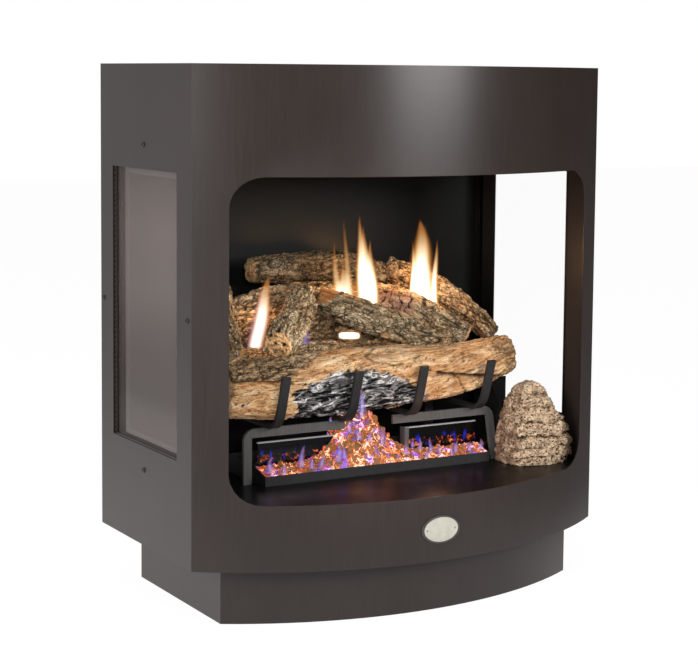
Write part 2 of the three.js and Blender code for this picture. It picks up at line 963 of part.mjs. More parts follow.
function rearFrame() {
  const half = railOuterX;
  const nearY = grate.rearRailY - grate.barWidth / 2;
  const farY = nearY + grate.barThickness;
  const rail = block(-half, half, nearY, farY, grate.railBottom, railTop);
  const leftLeg = block(-half, -half + grate.barWidth, nearY, farY, 0, railTop);
  const rightLeg = block(half - grate.barWidth, half, nearY, farY, 0, railTop);
  return join(rail, leftLeg, rightLeg);
}

function buildGrate() {
  place(fire, 'grate_rail_left', mirrored(frontRail(grate.leftRailInnerX, 0)), 'iron');
  place(fire, 'grate_rail_right', leanFoot(frontRail(grate.rightRailInnerX, 0)), 'iron');
  place(fire, 'grate_rear_frame', rearFrame(), 'iron');
  fingerXs.forEach((x, index) => place(fire, `grate_finger_${index + 1}`, finger(x, 0), 'iron'));
}

// Burner pan with a low front lip and side walls that rise towards the back
const burnerZ = pan.sheet + gap + burner.diameter / 2;

function panProfile(inset) {
  return [
    [pan.frontY + inset, inset],
    [pan.rearY - inset, inset],
    [pan.rearY - inset, pan.wallHeight + inset],
    [pan.frontY + pan.slopeRun, pan.wallHeight + inset],
    [pan.frontY + inset, pan.lipHeight + inset],
  ];
}

function buildPan() {
  const outer = runAcross(panProfile(0), -panHalfWidth, panHalfWidth);
  const inside = panHalfWidth - pan.sheet;
  const insideFrontY = pan.frontY + pan.sheet;
  const insideRearY = pan.rearY - pan.sheet;
  const hollow = join(
    runAcross(panProfile(pan.sheet), -inside, inside),
    block(-inside, inside, insideFrontY, insideRearY, pan.lipHeight, pan.wallHeight + overrun),
  );
  const tubeHole = rod(
    [inside - overrun, burner.y, burnerZ],
    [panHalfWidth + overrun, burner.y, burnerZ],
    burner.diameter + 2 * gap,
  );
  place(fire, 'burner_pan', cut(outer, hollow, tubeHole), 'iron');
}

function emberPlateSolid(innerX) {
  const outerX = panHalfWidth - pan.sheet - emberPlate.endGap;
  const profile = [
    [emberPlate.y, pan.sheet],
    [emberPlate.y + emberPlate.sheet, pan.sheet],
    [emberPlate.y + emberPlate.sheet, emberPlate.top - emberPlate.sheet],
    [emberPlate.y + emberPlate.fold, emberPlate.top - emberPlate.sheet],
    [emberPlate.y + emberPlate.fold, emberPlate.top],
    [emberPlate.y, emberPlate.top],
  ];
  return runAcross(profile, innerX, outerX);
}

function buildBurner() {
  place(fire, 'ember_plate_left', mirrored(emberPlateSolid(emberPlate.leftInnerX)), 'black');
  place(fire, 'ember_plate_right', emberPlateSolid(emberPlate.rightInnerX), 'black');

  const leftEnd = [burnerLeftX, burner.y, burnerZ];
  const rightEnd = [burnerRightX, burner.y, burnerZ];
  const tube = rod(leftEnd, rightEnd, burner.diameter);
  const socket = rod(
    [burnerRightX - burner.socketDepth, burner.y, burnerZ],
    [burnerRightX + overrun, burner.y, burnerZ],
    pipe.supplyDiameter + 2 * pipe.supplyFit,
  );
  place(fire, 'burner_tube', cut(tube, socket), 'steel');

  const left = pilot.x - pilot.standWidth / 2;
  const right = pilot.x + pilot.standWidth / 2;
  const standRear = pilot.standY + pilot.standThickness;
  const footTop = pan.sheet + pilot.standThickness;
  const stand = block(left, right, pilot.standY, standRear, pan.sheet, pilot.standHeight);
  const foot = block(left, right, pilot.standY, pilot.standY + pilot.footReach, pan.sheet, footTop);
  const hoodZ = pilot.standHeight - pilot.hoodDiameter / 2;
  const hood = rod(
    [pilot.x, pilot.standY - pilot.hoodReach, hoodZ],
    [pilot.x, standRear, hoodZ],
    pilot.hoodDiameter,
  );
  const probeX = pilot.x + pilot.probeOffset;
  const probeZ = pilot.standHeight - pilot.hoodDiameter;
  const probe = rod(
    [probeX, pilot.standY - pilot.probeReach, probeZ],
    [probeX, standRear, probeZ],
    pilot.probeDiameter,
    tubeSides,
  );
  place(fire, 'pilot_assembly', join(stand, foot, hood, probe), 'steel');
}

// Ember bed: a sloped bed in front of the plates with a mound in the middle
function emberHeight(x, y) {
  const front = pan.frontY + pan.sheet;
  const share = Math.min(Math.max((y - front) / (emberPlate.y - front), 0), 1);
  const bed = embers.depthAtLip + (embers.depthAtPlate - embers.depthAtLip) * share;
  const spread = x < embers.moundX ? embers.moundLeftSpread : embers.moundRightSpread;
  const mound = embers.moundHeight * Math.exp(-(((x - embers.moundX) / spread) ** 2));
  const lump = embers.lump * Math.sin(x / embers.lumpPitch) * Math.cos((2 * y + x) / embers.lumpPitch);
  return bed + mound * share ** embers.moundFall + lump;
}

function emberBody(fromX, toX, fromY, toY, grow) {
  const rings = [];
  for (let station = 0; station <= embers.stations; station += 1) {
    const x = fromX + ((toX - fromX) * station) / embers.stations;
    const ring = [new THREE.Vector3(x, fromY, pan.sheet), new THREE.Vector3(x, toY, pan.sheet)];
    for (let row = embers.rows; row >= 0; row -= 1) {
      const y = fromY + ((toY - fromY) * row) / embers.rows;
      ring.push(new THREE.Vector3(x, y, emberHeight(x, y) + grow));
    }
    rings.push(ring);
  }
  const middleY = (fromY + toY) / 2;
  const middleZ = (pan.sheet + embers.depthAtLip) / 2;
  const startPoint = new THREE.Vector3(fromX, middleY, middleZ);
  const endPoint = new THREE.Vector3(toX, middleY, middleZ);
  return skinned(rings, startPoint, endPoint);
}

function emberBed(grow) {
  const side = panHalfWidth - pan.sheet - gap;
  const front = pan.frontY + pan.sheet + gap;
  const bed = emberBody(-side, side, front, emberPlate.y - gap, grow);
  const moundLeft = -emberPlate.leftInnerX + gap;
  const moundRight = emberPlate.rightInnerX - gap;
  const heap = emberBody(moundLeft, moundRight, (front + emberPlate.y) / 2, embers.moundRearY, grow);
  return join(bed, heap);
}

function buildEmbers() {
  const bed = cut(
    emberBed(0),
    mirrored(frontRail(grate.leftRailInnerX, gap)),
    frontRail(grate.rightRailInnerX, gap),
    ...fingerXs.map((x) => finger(x, gap)),
  );
  place(fire, 'ember_bed', bed, 'ember');
}

// Ceramic logs: lumpy rings along a gently bent line, notched where they cross
const stackReachX = railOuterX + logStack.sideOverhang;
const stackDepth = fireboxBackY - cabinet.sheet - fireY - logStack.rearClearance;

function stackPoint([sideShare, depthShare, heightShare]) {
  return new THREE.Vector3(sideShare * stackReachX, depthShare * stackDepth, heightShare * logStack.height);
}

function shareAt(shares, along) {
  const position = along * (shares.length - 1);
  const lower = Math.min(Math.floor(position), shares.length - 2);
  return shares[lower] + (shares[lower + 1] - shares[lower]) * (position - lower);
}

function logRadius(log, along, angle) {
  const lump = Math.sin(3 * angle + log.phase + 5 * along)
    + 0.6 * Math.sin(5 * angle - 7 * along + 2 * log.phase)
    + 0.5 * Math.sin(2 * angle + 11 * along);
  const girth = logStack.radius * shareAt(log.girthShares, along);
  const radius = girth * log.radiusShare * (1 + (lumpShare * lump) / 2);
  if (log.splitDepthShare === undefined) return radius;
  const facing = Math.cos(angle - Math.PI - log.splitTurn);
  const splitDepth = girth * log.splitDepthShare;
  return facing * radius > splitDepth ? splitDepth / facing : radius;
}

function logBody(log, grow) {
  const path = new THREE.CatmullRomCurve3(log.lineShares.map(stackPoint));
  const up = new THREE.Vector3(0, 0, 1);
  const rings = [];
  const caps = [];
  for (let ringIndex = 0; ringIndex <= logRings; ringIndex += 1) {
    const along = ringIndex / logRings;
    const centre = path.getPointAt(along);
    const tangent = path.getTangentAt(along);
    const across = up.clone().cross(tangent).normalize();
    const rise = tangent.clone().cross(across);
    const end = ringIndex === 0 ? -1 : Number(ringIndex === logRings);
    const endCentre = centre.clone().addScaledVector(tangent, end * grow);
    const ring = [];
    for (let side = 0; side < logSides; side += 1) {
      const angle = (2 * Math.PI * side) / logSides;
      const radius = logRadius(log, along, angle) + grow;
      ring.push(endCentre.clone()
        .addScaledVector(across, radius * Math.cos(angle))
        .addScaledVector(rise, radius * Math.sin(angle)));
    }
    rings.push(ring);
    const bulge = logStack.radius * log.radiusShare * capBulgeShare;
    if (end !== 0) caps.push(endCentre.clone().addScaledVector(tangent, end * bulge));
  }
  return skinned(rings, caps[0], caps[1]);
}

function buildLogs() {
  const below = fingerXs.map((x) => finger(x, gap));
  below.push(emberBed(gap));
  for (const log of logs) {
    place(fire, log.name, cut(logBody(log, 0), ...below), log.finish);
    below.push(logBody(log, gap));
  }
}

// Controls frame: X from the middle of the bracket, Y from its front face, Z from the hearth
const controls = new THREE.Group();
controls.position.set(controlX, controlY, hearthTop);

const supplyEndX = fireSet.centreX + burnerRightX - controlX;
const supplyRunY = fireY + burner.y - controlY;

function axisRod(x, fromY, toY, diameter, sides = roundSides) {
  return rod([x, fromY, control.axisHeight], [x, toY, control.axisHeight], diameter, sides);
}

function buildBracket() {
  const plate = block(-control.leftReach, control.rightReach, 0, control.sheet, 0, control.height);
  const foot = block(-control.leftReach, control.rightReach, 0, control.foot, 0, control.sheet);
  const leftX = -control.leftReach;
  const wallOutline = [
    [0, 0],
    [shield.rearY, 0],
    [shield.rearY, shield.height],
    [shield.slopeRun, shield.height],
    [0, control.height],
  ];
  const wall = runAcross(wallOutline, leftX, leftX + control.sheet);
  const rear = block(leftX, shield.rightX, shield.rearY - control.sheet, shield.rearY, 0, shield.height);
  const noseHole = axisRod(valve.x, -overrun, control.sheet + overrun, valve.noseDiameter + 2 * gap);
  const igniterHole = axisRod(igniter.x, -overrun, control.sheet + overrun, igniter.bodyDiameter + 2 * gap);
  const supplyHole = rod(
    [leftX - overrun, supplyRunY, burnerZ],
    [leftX + control.sheet + overrun, supplyRunY, burnerZ],
    pipe.supplyDiameter + 2 * shield.pipeClearance,
  );
  const folded = join(plate, foot, wall, rear);
  place(controls, 'control_bracket', cut(folded, noseHole, igniterHole, supplyHole), 'black');
}

function buildValve() {
  const left = valve.x - valve.width / 2;
  const bottom = control.axisHeight - valve.height / 2;
  const body = block(left, left + valve.width, control.sheet, valveRearY, bottom, bottom + valve.height);
  const noseY = -valve.noseReach;
  const nose = axisRod(valve.x, noseY, control.sheet + overrun, valve.noseDiameter);
  const outlet = axisRod(valve.outletX, valveRearY - overrun, stubEndY, valve.stubDiameter);
  const inlet = axisRod(valve.inletX, valveRearY - overrun, stubEndY, pipe.inletDiameter);
  const socketDiameter = valve.stemDiameter + 2 * gap;
  const socket = axisRod(valve.x, noseY - overrun, valve.socketDepth + gap, socketDiameter);
  place(controls, 'gas_valve', cut(join(body, nose, outlet, inlet), socket), 'valveBody');
  const stem = axisRod(valve.x, -valve.stemReach, valve.socketDepth, valve.stemDiameter);
  place(controls, 'valve_stem', stem, 'brass');
}

function buildKnob() {
  const rear = -valve.noseReach - knob.travel - knob.endGap;
  const front = rear - knob.length;
  const skirt = axisRod(valve.x, rear - knob.skirt, rear, knob.diameter, knobSides);
  const grip = axisRod(valve.x, front, rear, knob.gripDiameter, knobSides);
  const half = knob.pointerWidth / 2;
  const pointer = block(
    valve.x - half, valve.x + half,
    front - knob.pointerHeight, front + overrun,
    control.axisHeight, control.axisHeight + knob.gripDiameter / 2 - knob.pointerWidth,
  );
  const boreEnd = -valve.stemReach - knob.travel - knob.endGap;
  const bore = axisRod(valve.x, boreEnd, rear + overrun, valve.stemDiameter + 2 * gap);
  place(controls, 'control_knob', cut(join(skirt, grip, pointer), bore), 'plastic');
}

function buildIgniter() {
  const body = axisRod(igniter.x, -igniter.collarThickness, igniter.bodyLength, igniter.bodyDiameter);
  const collar = axisRod(igniter.x, -igniter.collarThickness, 0, igniter.collarDiameter);
  const boreRear = igniter.boreDepth - igniter.collarThickness;
  const bore = axisRod(igniter.x, -igniter.collarThickness - overrun, boreRear, igniter.boreDiameter);
  place(controls, 'igniter_body', cut(join(body, collar), bore), 'plastic');

  const capRear = -igniter.collarThickness - igniter.travel - igniter.endGap;
  const shankDiameter = igniter.boreDiameter - 2 * igniter.buttonFit;
  const shank = axisRod(igniter.x, capRear - igniter.capOverlap, igniter.buttonInside, shankDiameter);
  const cap = axisRod(igniter.x, capRear - igniter.capThickness, capRear, igniter.capDiameter);
  place(controls, 'igniter_button', join(shank, cap), 'screw');
}

function buildPipes() {
  const z = control.axisHeight;
  const supply = bentTube(
    [
      [valve.outletX, stubEndY + gap, z],
      [valve.outletX, supplyRunY, z],
      [valve.outletX, supplyRunY, burnerZ],
      [supplyEndX - burner.socketDepth + gap, supplyRunY, burnerZ],
    ],
    pipe.supplyDiameter,
    pipe.supplyBend,
  );
  place(controls, 'supply_pipe', supply, 'brass');

  const endY = backY - pipe.endInset - controlY;
  const dropY = stubEndY + pipe.inletDropRun;
  const inlet = bentTube(
    [
      [valve.inletX, stubEndY + gap, z],
      [valve.inletX, dropY, z],
      [valve.inletX, dropY, -pipe.belowHearth],
      [valve.inletX, endY, -pipe.belowHearth],
    ],
    pipe.inletDiameter,
    pipe.inletBend,
    smallSides,
  );
  const bore = rod(
    [valve.inletX, endY - pipe.inletBoreDepth, -pipe.belowHearth],
    [valve.inletX, endY + overrun, -pipe.belowHearth],
    pipe.inletBore,
    smallSides,
  );
  place(controls, 'inlet_pipe', cut(inlet, bore), 'black');
}

// Hollow rock that stands over the controls, open below and behind
function rockBody(inset) {
  const rings = rockLevelShares.map(([heightShare, leftShare, rightShare, depthShare], level) => {
    const ring = [];
    for (let side = 0; side < rock.sides; side += 1) {
      const angle = (2 * Math.PI * side) / rock.sides;
      const across = Math.cos(angle);
      const back = Math.sin(angle);
      const square = (across ** 4 + back ** 4) ** -0.25;
      const reach = (across < 0 ? leftShare : rightShare) * rock.halfWidth - inset;
      const depth = depthShare * rock.halfDepth - inset;
      const ripple = inset === 0 ? rock.ripple * Math.sin(3 * angle + 2 * level) : 0;
      const z = heightShare * (rock.height - inset);
      ring.push(new THREE.Vector3(
        across * square * Math.max(reach, rock.ripple) + ripple * across,
        back * square * Math.max(depth, rock.ripple) + ripple * back,
        z,
      ));
    }
    return ring;
  });
  const [, leftShareAtTop, rightShareAtTop] = rockLevelShares[rockLevelShares.length - 1];
  const lean = (rightShareAtTop - leftShareAtTop) / 2;
  const top = new THREE.Vector3(lean * rock.halfWidth, 0, rock.height - inset);
  return skinned(rings, new THREE.Vector3(0, 0, 0), top);
}

function buildRock() {
  const rockY = sideFrontY + rock.setback;
  const rearY = controlY - rock.backGap - rockY;
  const wide = 2 * rock.halfWidth;
  const behind = block(-wide, wide, rearY, wide, -overrun, rock.height + overrun);
  const doorHalf = rock.halfWidth - 2 * rock.wall;
  const under = block(-doorHalf, doorHalf, 0, rearY, -overrun, rock.wall);
  const shell = cut(rockBody(0), rockBody(rock.wall), behind, under);
  const mesh = place(fireplace, 'control_rock', shell, 'rock');
  mesh.position.set(controlX + rock.offsetX, rockY, hearthTop + gap);
}

buildPlinth();
buildShell();
buildFrontPanel();
buildSides();
buildFirebox();
buildBadge();
buildGrate();
buildPan();
buildBurner();
buildEmbers();
buildLogs();
buildBracket();
buildValve();
buildKnob();
buildIgniter();
buildPipes();
buildRock();
fireplace.add(fire, controls);

export default fireplace;
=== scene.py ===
import json
import math

import bmesh
import bpy
import numpy as np
from mathutils import Matrix, Vector

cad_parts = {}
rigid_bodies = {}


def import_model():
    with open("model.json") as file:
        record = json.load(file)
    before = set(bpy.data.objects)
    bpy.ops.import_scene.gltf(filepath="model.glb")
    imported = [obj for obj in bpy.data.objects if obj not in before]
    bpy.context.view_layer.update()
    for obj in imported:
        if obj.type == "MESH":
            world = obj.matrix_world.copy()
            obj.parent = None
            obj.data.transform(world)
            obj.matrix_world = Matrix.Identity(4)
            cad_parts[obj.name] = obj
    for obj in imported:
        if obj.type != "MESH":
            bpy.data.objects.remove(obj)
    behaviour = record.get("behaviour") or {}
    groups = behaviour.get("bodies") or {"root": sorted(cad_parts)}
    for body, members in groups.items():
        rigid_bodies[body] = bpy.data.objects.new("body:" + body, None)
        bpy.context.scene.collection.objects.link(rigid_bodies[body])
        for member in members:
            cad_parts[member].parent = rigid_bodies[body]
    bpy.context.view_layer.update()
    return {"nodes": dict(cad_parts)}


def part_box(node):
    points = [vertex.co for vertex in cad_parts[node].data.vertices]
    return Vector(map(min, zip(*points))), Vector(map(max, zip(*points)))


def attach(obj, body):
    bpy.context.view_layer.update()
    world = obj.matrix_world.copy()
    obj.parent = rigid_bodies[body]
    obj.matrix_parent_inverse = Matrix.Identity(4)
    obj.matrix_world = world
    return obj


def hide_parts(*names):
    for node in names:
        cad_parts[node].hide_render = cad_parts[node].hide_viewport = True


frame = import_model()
nodes = frame["nodes"]
scene = bpy.context.scene
mm = 0.001
weldDistance = 1e-5
print("frame loaded")


# Colours are written as sRGB bytes and used as linear values.
def linear(value):
    share = value / 255
    return share / 12.92 if share <= 0.04045 else ((share + 0.055) / 1.055) ** 2.4


def tone(red, green, blue):
    return (linear(red), linear(green), linear(blue), 1.0)


# Node helpers for the materials, the world and the Geometry Nodes trees
class Graph:
    def __init__(self, tree):
        self.tree = tree

    def node(self, kind, **settings):
        made = self.tree.nodes.new(kind)
        for key, value in settings.items():
            setattr(made, key, value)
        return made

    def link(self, source, target):
        self.tree.links.new(source, target)

    def put(self, socket, value):
        if hasattr(value, "is_output"):
            self.link(value, socket)
        else:
            socket.default_value = value

    def axes(self, space="Object"):
        coord = self.node("ShaderNodeTexCoord")
        parts = self.node("ShaderNodeSeparateXYZ")
        self.link(coord.outputs[space], parts.inputs[0])
        return parts.outputs

    def range(self, value, low, high, toLow=0.0, toHigh=1.0, shape="SMOOTHSTEP"):
        made = self.node("ShaderNodeMapRange", interpolation_type=shape)
        self.put(made.inputs["Value"], value)
        self.put(made.inputs["From Min"], low)
        self.put(made.inputs["From Max"], high)
        self.put(made.inputs["To Min"], toLow)
        self.put(made.inputs["To Max"], toHigh)
        return made.outputs["Result"]

    def math(self, operation, first, second=0.0):
        made = self.node("ShaderNodeMath", operation=operation)
        self.put(made.inputs[0], first)
        self.put(made.inputs[1], second)
        return made.outputs[0]


class Shader(Graph):
    def __init__(self, name):
        self.material = bpy.data.materials.new(name)
        self.material.use_nodes = True
        super().__init__(self.material.node_tree)
        self.bsdf = self.tree.nodes["Principled BSDF"]
        self.output = self.tree.nodes["Material Output"]

    def set(self, **values):
        names = {
            "color": "Base Color",
            "roughness": "Roughness",
            "metallic": "Metallic",
            "specular": "Specular IOR Level",
            "sheen": "Sheen Weight",
            "sheenRoughness": "Sheen Roughness",
            "alpha": "Alpha",
            "emission": "Emission Color",
            "strength": "Emission Strength",
            "normal": "Normal",
        }
        for key, value in values.items():
            self.put(self.bsdf.inputs[names[key]], value)

    def place(self, scale=(1, 1, 1)):
        coord = self.node("ShaderNodeTexCoord")
        return self.stretched(coord.outputs["Object"], scale)

    def stretched(self, vector, scale):
        mapping = self.node("ShaderNodeMapping")
        mapping.inputs["Scale"].default_value = scale
        self.link(vector, mapping.inputs["Vector"])
        return mapping.outputs["Vector"]

    def warped(self, vector, scale, amount):
        made = self.node("ShaderNodeTexNoise")
        self.link(vector, made.inputs["Vector"])
        made.inputs["Scale"].default_value = scale
        shift = self.node("ShaderNodeVectorMath", operation="MULTIPLY_ADD")
        self.link(made.outputs["Color"], shift.inputs[0])
        shift.inputs[1].default_value = (amount, amount, amount)
        self.link(vector, shift.inputs[2])
        return shift.outputs[0]

    def noise(self, vector, scale, detail=4.0, roughness=0.55, distortion=0.0):
        made = self.node("ShaderNodeTexNoise")
        self.link(vector, made.inputs["Vector"])
        made.inputs["Scale"].default_value = scale
        made.inputs["Detail"].default_value = detail
        made.inputs["Roughness"].default_value = roughness
        made.inputs["Distortion"].default_value = distortion
        return made.outputs["Fac"]

    # Thin winding lines, where a noise crosses its middle value
    def wrinkles(self, vector, scale, width, detail=3.0, distortion=0.5):
        value = self.noise(vector, scale, detail, 0.6, distortion)
        away = self.math("ABSOLUTE", self.math("SUBTRACT", value, 0.5))
        return self.range(away, 0.0, width, 1.0, 0.0)

    def cells(self, vector, scale, feature="F1"):
        made = self.node("ShaderNodeTexVoronoi", feature=feature)
        self.link(vector, made.inputs["Vector"])
        made.inputs["Scale"].default_value = scale
        return made.outputs["Distance"]

    def attribute(self, name, output="Fac"):
        made = self.node("ShaderNodeAttribute", attribute_name=name)
        return made.outputs[output]

    def ramp(self, factor, stops):
        made = self.node("ShaderNodeValToRGB")
        self.put(made.inputs["Fac"], factor)
        elements = made.color_ramp.elements
        while len(elements) < len(stops):
            elements.new(0.5)
        for element, (position, color) in zip(elements, stops):
            element.position = position
            element.color = color
        return made.outputs["Color"]

    def mix(self, factor, first, second, blend="MIX"):
        made = self.node("ShaderNodeMix", data_type="RGBA", blend_type=blend)
        self.put(made.inputs[0], factor)
        self.put(made.inputs[6], first)
        self.put(made.inputs[7], second)
        return made.outputs[2]

    def bump(self, height, distance, strength=1.0, normal=None):
        made = self.node("ShaderNodeBump")
        made.inputs["Distance"].default_value = distance
        made.inputs["Strength"].default_value = strength
        self.link(height, made.inputs["Height"])
        if normal is not None:
            self.link(normal, made.inputs["Normal"])
        return made.outputs["Normal"]

    def roundEdges(self, radius):
        made = self.node("ShaderNodeBevel", samples=4)
        made.inputs["Radius"].default_value = radius
        return made.outputs["Normal"]


# A Geometry Nodes tree with named inputs, which places shapes and makes them real
class ShapeTree(Graph):
    def __init__(self, name, sockets):
        super().__init__(bpy.data.node_groups.new(name, "GeometryNodeTree"))
        interface = self.tree.interface
        interface.new_socket("Geometry", in_out="INPUT", socket_type="NodeSocketGeometry")
        for socket, kind in sockets.items():
            interface.new_socket(socket, in_out="INPUT", socket_type=kind)
        interface.new_socket("Geometry", in_out="OUTPUT", socket_type="NodeSocketGeometry")
        self.given = self.node("NodeGroupInput").outputs

    def shapes(self, collection):
        info = self.node("GeometryNodeCollectionInfo")
        info.inputs["Collection"].default_value = collection
        info.inputs["Separate Children"].default_value = True
        info.inputs["Reset Children"].default_value = True
        return info.outputs[0]

    def random(self, low, high, seed):
        made = self.node("FunctionNodeRandomValue", data_type="FLOAT")
        self.put(made.inputs[2], low)
        self.put(made.inputs[3], high)
        self.put(made.inputs["Seed"], seed)
        return made.outputs[1]

    # The export drops instances, so they are made real before they get their material.
    def close(self, instances, material):
        real = self.node("GeometryNodeRealizeInstances")
        self.link(instances, real.inputs[0])
        paint = self.node("GeometryNodeSetMaterial")
        paint.inputs["Material"].default_value = material
        self.link(real.outputs[0], paint.inputs["Geometry"])
        self.link(paint.outputs[0], self.node("NodeGroupOutput").inputs[0])

    def run(self, piece, values):
        modifier = piece.modifiers.new(self.tree.name, "NODES")
        modifier.node_group = self.tree
        for item in self.tree.interface.items_tree:
            if item.name in values:
                modifier[item.identifier] = values[item.name]
        bakeModifiers(piece)


# Vectorised gradient noise for sculpting
def hashed(cells, seed):
    table = np.random.RandomState(seed).permutation(256)
    table = np.concatenate([table, table, table])
    wrapped = cells & 255
    return table[table[table[wrapped[..., 0]] + wrapped[..., 1]] + wrapped[..., 2]]


def gradientNoise(points, seed):
    random = np.random.RandomState(seed + 1000)
    gradients = random.normal(size=(256, 3))
    gradients /= np.linalg.norm(gradients, axis=1)[:, None]
    base = np.floor(points).astype(int)
    inside = points - base
    fade = inside * inside * inside * (inside * (inside * 6 - 15) + 10)
    total = np.zeros(len(points))
    for corner in range(8):
        offset = np.array([corner & 1, (corner >> 1) & 1, corner >> 2])
        gradient = gradients[hashed(base + offset, seed)]
        value = np.einsum("ij,ij->i", gradient, inside - offset)
        weight = np.where(offset, fade, 1 - fade).prod(axis=1)
        total += weight * value
    return total * 1.6


def fractalNoise(points, seed, octaves=3, gain=0.5):
    total = np.zeros(len(points))
    size = 1.0
    for octave in range(octaves):
        total += size * gradientNoise(points * 2 ** octave, seed + octave)
        size *= gain
    return total


def cellNoise(points, seed):
    base = np.floor(points).astype(int)
    inside = points - base
    random = np.random.RandomState(seed + 2000).rand(256, 3)
    nearest = np.full(len(points), 9.0)
    second = np.full(len(points), 9.0)
    label = np.zeros(len(points))
    for dx in (-1, 0, 1):
        for dy in (-1, 0, 1):
            for dz in (-1, 0, 1):
                offset = np.array([dx, dy, dz])
                found = hashed(base + offset, seed)
                away = np.linalg.norm(offset + random[found] - inside, axis=1)
                closer = away < nearest
                second = np.where(closer, nearest, np.minimum(second, away))
                nearest = np.where(closer, away, nearest)
                label = np.where(closer, found / 255, label)
    return second - nearest, label


def smoothstep(value, low, high):
    share = np.clip((value - low) / (high - low), 0, 1)
    return share * share * (3 - 2 * share)


def crease(value, width):
    return 1 - smoothstep(np.abs(value), 0, width)


# Mesh helpers
def newObject(name, data):
    made = bpy.data.objects.new(name, data)
    scene.collection.objects.link(made)
    return made


def bakeModifiers(piece):
    graph = bpy.context.evaluated_depsgraph_get()
    mesh = bpy.data.meshes.new_from_object(piece.evaluated_get(graph))
    piece.modifiers.clear()
    piece.data = mesh


def weldMesh(mesh, distance, turnOut=False):
    work = bmesh.new()
    work.from_mesh(mesh)
    bmesh.ops.remove_doubles(work, verts=work.verts, dist=distance)
    if turnOut:
        bmesh.ops.recalc_face_normals(work, faces=work.faces)
    work.to_mesh(mesh)
    work.free()


def dropNormals(mesh):
    if "custom_normal" in mesh.attributes:
        mesh.attributes.remove(mesh.attributes["custom_normal"])


def mergedCopy(nodeName, pieceName):
    mesh = nodes[nodeName].data.copy()
    dropNormals(mesh)
    weldMesh(mesh, weldDistance)
    mesh.materials.clear()
    return newObject(pieceName, mesh)


def remesh(piece, voxel, smoothing):
    modifier = piece.modifiers.new("Remesh", "REMESH")
    modifier.mode = "VOXEL"
    modifier.voxel_size = voxel
    smooth = piece.modifiers.new("Smooth", "SMOOTH")
    smooth.factor = 0.5
    smooth.iterations = smoothing
    bakeModifiers(piece)


def pointsOf(mesh):
    flat = np.zeros(len(mesh.vertices) * 3, np.float32)
    mesh.vertices.foreach_get("co", flat)
    return flat.reshape(-1, 3).astype(float)


def normalsOf(mesh):
    flat = np.zeros(len(mesh.vertices) * 3, np.float32)
    mesh.vertex_normals.foreach_get("vector", flat)
    return flat.reshape(-1, 3).astype(float)


def setPoints(mesh, points):
    mesh.vertices.foreach_set("co", points.astype(np.float32).ravel())
    mesh.update()


def setValues(mesh, name, values):
    layer = mesh.attributes.new(name, "FLOAT", "POINT")
    layer.data.foreach_set("value", values.astype(np.float32))


def setVectors(mesh, name, vectors):
    layer = mesh.attributes.new(name, "FLOAT_VECTOR", "POINT")
    layer.data.foreach_set("vector", vectors.astype(np.float32).ravel())


def smoothFaces(mesh):
    mesh.polygons.foreach_set("use_smooth", np.ones(len(mesh.polygons), bool))
    mesh.update()


def gridMesh(name, rows, closedAcross=False):
    across = len(rows[0])
    vertices = [tuple(point) for row in rows for point in row]
    faces = []
    last = across if closedAcross else across - 1
    for row in range(len(rows) - 1):
        for column in range(last):
            here = row * across + column
            beside = row * across + (column + 1) % across
            faces.append((here, beside, beside + across, here + across))
    mesh = bpy.data.meshes.new(name)
    mesh.from_pydata(vertices, [], faces)
    mesh.update()
    return mesh


def finishPiece(piece, material, body, replaced):
    piece.data.materials.clear()
    piece.data.materials.append(material)
    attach(piece, body)
    if replaced:
        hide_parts(*replaced)


# Finishes of the sheet metal
def paintedSteel(name, darker, lighter, grain, roughness, specular):
    shader = Shader(name)
    broad = shader.noise(shader.place((1, 1, 0.6)), 5, 3)
    fine = shader.noise(shader.place((1, 1, 0.03)), grain, 3, 0.7)
    speck = shader.noise(shader.place(), 900, 2)
    cloudy = shader.range(broad, 0.3, 0.7, 0, 0.45)
    streaky = shader.range(fine, 0.25, 0.75, 0, 0.55)
    shader.set(
        color=shader.mix(shader.math("ADD", cloudy, streaky), darker, lighter),
        roughness=shader.range(fine, 0.3, 0.7, roughness - 0.015, roughness + 0.02),
        specular=specular,
        normal=shader.bump(speck, 0.0001, 0.25, shader.roundEdges(0.0008)),
    )
    return shader.material


bronzeSteel = paintedSteel("bronzeSteel", tone(40, 33, 30), tone(50, 42, 39), 420, 0.3, 0.36)
blackSteel = paintedSteel("blackSteel", tone(17, 16, 16), tone(27, 26, 26), 160, 0.36, 0.4)
charcoalSteel = paintedSteel("charcoalSteel", tone(66, 65, 64), tone(86, 84, 83), 220, 0.6, 0.3)
satinSteel = paintedSteel("satinSteel", tone(32, 32, 33), tone(44, 43, 43), 220, 0.5, 0.25)
screwBlack = paintedSteel("screwBlack", tone(26, 24, 23), tone(40, 37, 35), 900, 0.35, 0.6)


def fireboxSteel():
    shader = Shader("fireboxSteel")
    broad = shader.noise(shader.place(), 3, 3)
    fine = shader.noise(shader.place(), 700, 2)
    shader.set(
        color=shader.mix(shader.range(broad, 0.3, 0.7), tone(9, 9, 9), tone(16, 16, 15)),
        roughness=shader.range(broad, 0.3, 0.7, 0.36, 0.46),
        specular=0.16,
        normal=shader.bump(fine, 0.00008, 0.2, shader.roundEdges(0.0006)),
    )
    return shader.material


# Heights in metres: the painted highlight along the top edge, and where the painted reflection of the embers
# begins and ends
emberPlate = {"edge": (0.2722, 0.2732), "mirrorFoot": (0.232, 0.24), "mirrorHead": (0.25, 0.264)}
